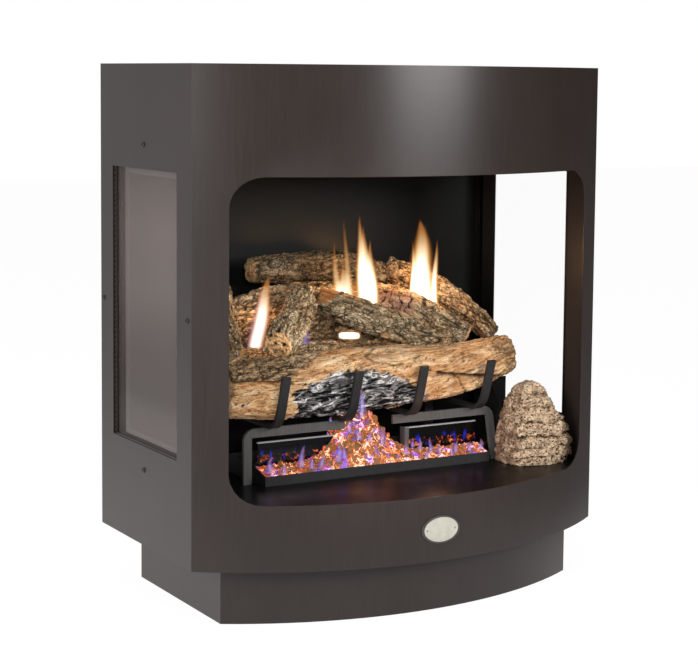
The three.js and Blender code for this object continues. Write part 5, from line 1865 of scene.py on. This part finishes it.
def makeBadge():
    low, high = (np.array(corner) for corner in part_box("badge_plate"))
    centreX, centreZ = (low[0] + high[0]) / 2, (low[2] + high[2]) / 2
    halfX = (high[0] - low[0]) / 2 - badge["inset"] * mm
    halfZ = (high[2] - low[2]) / 2 - badge["inset"] * mm
    panelLow, panelHigh = (np.array(corner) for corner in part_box("front_panel"))
    halfWidth = panelHigh[0]
    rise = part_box("side_panel_left")[0][1] - panelLow[1]
    bow = (halfWidth ** 2 + rise ** 2) / (2 * rise)
    bowY = panelLow[1] + bow
    shares = np.concatenate([np.linspace(0.0, 1.0, badge["rings"]), [1.0]])
    angles = -np.linspace(0, 2 * math.pi, badge["spokes"], endpoint=False)
    rows, rims, rivets = [], [], []
    for index, share in enumerate(shares):
        x = centreX + halfX * share * np.cos(angles)
        z = centreZ + halfZ * share * np.sin(angles)
        edge = smoothstep(share, badge["rimShare"], badge["rimShare"] + badge["rimSlope"])
        edge *= 1 - badge["edgeDrop"] * smoothstep(share, badge["edgeShare"], 1.0)
        height = np.full(len(angles), badge["field"] + (badge["rim"] - badge["field"]) * edge)
        rivet = np.zeros(len(angles))
        for sign in (-1, 1):
            away = np.hypot(x - centreX - sign * badge["rivetShare"] * halfX, z - centreZ) / mm
            dome = np.sqrt(np.clip(1 - (away / badge["rivetRadius"]) ** 2, 0, 1))
            height = np.maximum(height, badge["field"] + badge["rivetHeight"] * dome)
            rivet = np.maximum(rivet, (dome > 0.05).astype(float))
        if index == len(shares) - 1:
            height = np.full(len(angles), badge["back"])
        y = bowY - np.sqrt(bow ** 2 - x ** 2) - height * mm
        rows.append(np.column_stack([x, y, z]))
        rims.append(np.full(len(angles), float(share > badge["rimShare"] + badge["rimPaint"])))
        rivets.append(rivet)
    mesh = gridMesh("badge", np.array(rows), True)
    setValues(mesh, "rim", np.concatenate(rims))
    setValues(mesh, "rivet", np.concatenate(rivets))
    weldMesh(mesh, 1e-7)
    smoothFaces(mesh)
    piece = newObject("badge", mesh)
    finishPiece(piece, badgeMaterial(), "root", ["badge_plate"])


makeBadge()
print("badge made")


# Camera at the photograph's angle
camera = {
    "place": (-1.6516, -2.7791, 0.9078),
    "yaw": 0.5246818,
    "pitch": 0.0952042,
    "roll": 0.0090799,
    "lens": 93.99,
    "shiftY": -0.1175,
}


def makeCamera():
    yaw, pitch, roll = camera["yaw"], camera["pitch"], camera["roll"]
    forward = Vector((
        math.sin(yaw) * math.cos(pitch),
        math.cos(yaw) * math.cos(pitch),
        -math.sin(pitch),
    ))
    right = Vector((math.cos(yaw), -math.sin(yaw), 0))
    up = right.cross(forward)
    turnedRight = math.cos(roll) * right + math.sin(roll) * up
    turnedUp = -math.sin(roll) * right + math.cos(roll) * up
    data = bpy.data.cameras.new("camera")
    data.sensor_width = 36
    data.lens = camera["lens"]
    data.shift_y = camera["shiftY"]
    data.clip_start = 0.05
    data.clip_end = 60
    made = newObject("camera", data)
    turn = Matrix((turnedRight, turnedUp, -forward)).transposed().to_4x4()
    made.matrix_world = Matrix.Translation(camera["place"]) @ turn
    scene.camera = made


makeCamera()
print("camera placed")


# Studio: a pale floor, a white world and soft lamps. Distances are in metres, and each fade has a start and
# an end. Metal sees less light from the right and from the front than the camera does.
studioFloor = {
    "size": 12.0,
    "drop": 0.0005,
    "shown": 0.92,
    "level": 1.04,
    "fadeAway": (0.6, 3.2),
    "fadeRight": (0.3, 1.1),
    "fadeFront": (-1.4, -0.2),
}


def floorMaterial():
    shader = Shader("studioFloor")
    cloud = shader.noise(shader.place(), 2.0, 3)
    shader.set(
        color=shader.mix(cloud, tone(236, 236, 236), tone(240, 240, 240)),
        roughness=0.9,
        specular=0.1,
    )
    axes = shader.axes()
    away = shader.node("ShaderNodeVectorMath", operation="LENGTH")
    shader.link(shader.place(), away.inputs[0])
    fades = (
        shader.range(axes["X"], *studioFloor["fadeRight"], 1.0, 0.15),
        shader.range(axes["Y"], *studioFloor["fadeFront"], 0.45, 1.0),
    )
    mirrored = shader.range(away.outputs["Value"], *studioFloor["fadeAway"], 1.0, 0.6)
    for fade in fades:
        mirrored = shader.math("MULTIPLY", mirrored, fade)
    path = shader.node("ShaderNodeLightPath").outputs
    strength = shader.range(path["Is Glossy Ray"], 0.0, 1.0, studioFloor["level"], mirrored, "LINEAR")
    seen = shader.math("MAXIMUM", path["Is Camera Ray"], path["Is Glossy Ray"])
    seen = shader.math("MAXIMUM", seen, path["Is Transmission Ray"])
    glow = shader.node("ShaderNodeEmission")
    glow.inputs["Color"].default_value = (1, 1, 1, 1)
    shader.link(strength, glow.inputs["Strength"])
    mixer = shader.node("ShaderNodeMixShader")
    shader.link(shader.math("MULTIPLY", seen, studioFloor["shown"]), mixer.inputs[0])
    shader.link(shader.bsdf.outputs[0], mixer.inputs[1])
    shader.link(glow.outputs[0], mixer.inputs[2])
    shader.link(mixer.outputs[0], shader.output.inputs["Surface"])
    return shader.material


def makeFloor():
    size = studioFloor["size"]
    rows = [[(x, y, -studioFloor["drop"]) for x in (-size, size)] for y in (-size, size)]
    floor = newObject("studio_floor", gridMesh("studio_floor", rows))
    floor.data.materials.append(floorMaterial())


studio = {
    "diffuseLevel": 0.5,
    "frontLevel": 0.2,
    "glossyLevel": 0.55,
    "skyLevel": 0.45,
    "darkSide": 0.06,
    "frontFade": (-0.9, -0.3),
    "skyFade": (0.0, 0.4),
    "sideFade": (0.1, 0.75),
}


def makeWorld():
    world = bpy.data.worlds.new("studio")
    world.use_nodes = True
    scene.world = world
    graph = Graph(world.node_tree)
    path = graph.node("ShaderNodeLightPath").outputs
    axes = graph.axes("Generated")
    levels = (studio["frontLevel"], studio["glossyLevel"])
    behind = graph.range(axes["Y"], *studio["frontFade"], *levels, "LINEAR")
    above = graph.range(axes["Z"], *studio["skyFade"], 1.0, studio["skyLevel"], "LINEAR")
    mirrored = graph.math("MULTIPLY", behind, above)
    level = graph.range(path["Is Glossy Ray"], 0.0, 1.0, studio["diffuseLevel"], mirrored, "LINEAR")
    beside = graph.range(axes["X"], *studio["sideFade"], 1.0, studio["darkSide"])
    faded = graph.math("MULTIPLY", level, beside)
    seen = graph.math("MAXIMUM", path["Is Camera Ray"], path["Is Transmission Ray"])
    back = world.node_tree.nodes["Background"]
    back.inputs["Color"].default_value = (1, 1, 1, 1)
    graph.link(graph.math("MAXIMUM", faded, seen), back.inputs["Strength"])


lamps = [
    {
        "name": "keyLamp", "place": (-3.4, -1.5, 1.25), "target": (0, 0, 0.4),
        "size": (1.6, 1.4), "power": 92,
    },
    {
        "name": "bowLamp", "place": (0.98, -2.36, 1.25), "target": (-0.04, -0.25, 0.85),
        "size": (1.1, 0.75), "power": 42,
    },
    {
        "name": "topLamp", "place": (-0.3, -0.4, 3.2), "target": (0, 0, 0.5),
        "size": (2.4, 2.4), "power": 28,
    },
]

# A narrow spot from the upper left lights the logs and the rock through the opening.
fireSpot = {
    "place": (-1.2, -2.3, 1.0), "target": (0.05, -0.02, 0.42), "power": 102,
    "cone": 16.5, "blend": 0.5, "radius": 0.06,
}


def makeLamps():
    for lamp in lamps:
        data = newLamp(lamp["name"], "AREA", lamp["power"], lamp["place"], lamp["target"])
        data.shape = "RECTANGLE"
        data.size, data.size_y = lamp["size"]
    data = newLamp("fireSpot", "SPOT", fireSpot["power"], fireSpot["place"], fireSpot["target"])
    data.spot_size = math.radians(fireSpot["cone"])
    data.spot_blend = fireSpot["blend"]
    data.shadow_soft_size = fireSpot["radius"]


makeFloor()
makeWorld()
makeLamps()
print("studio made")
scene.view_settings.view_transform = "Standard"
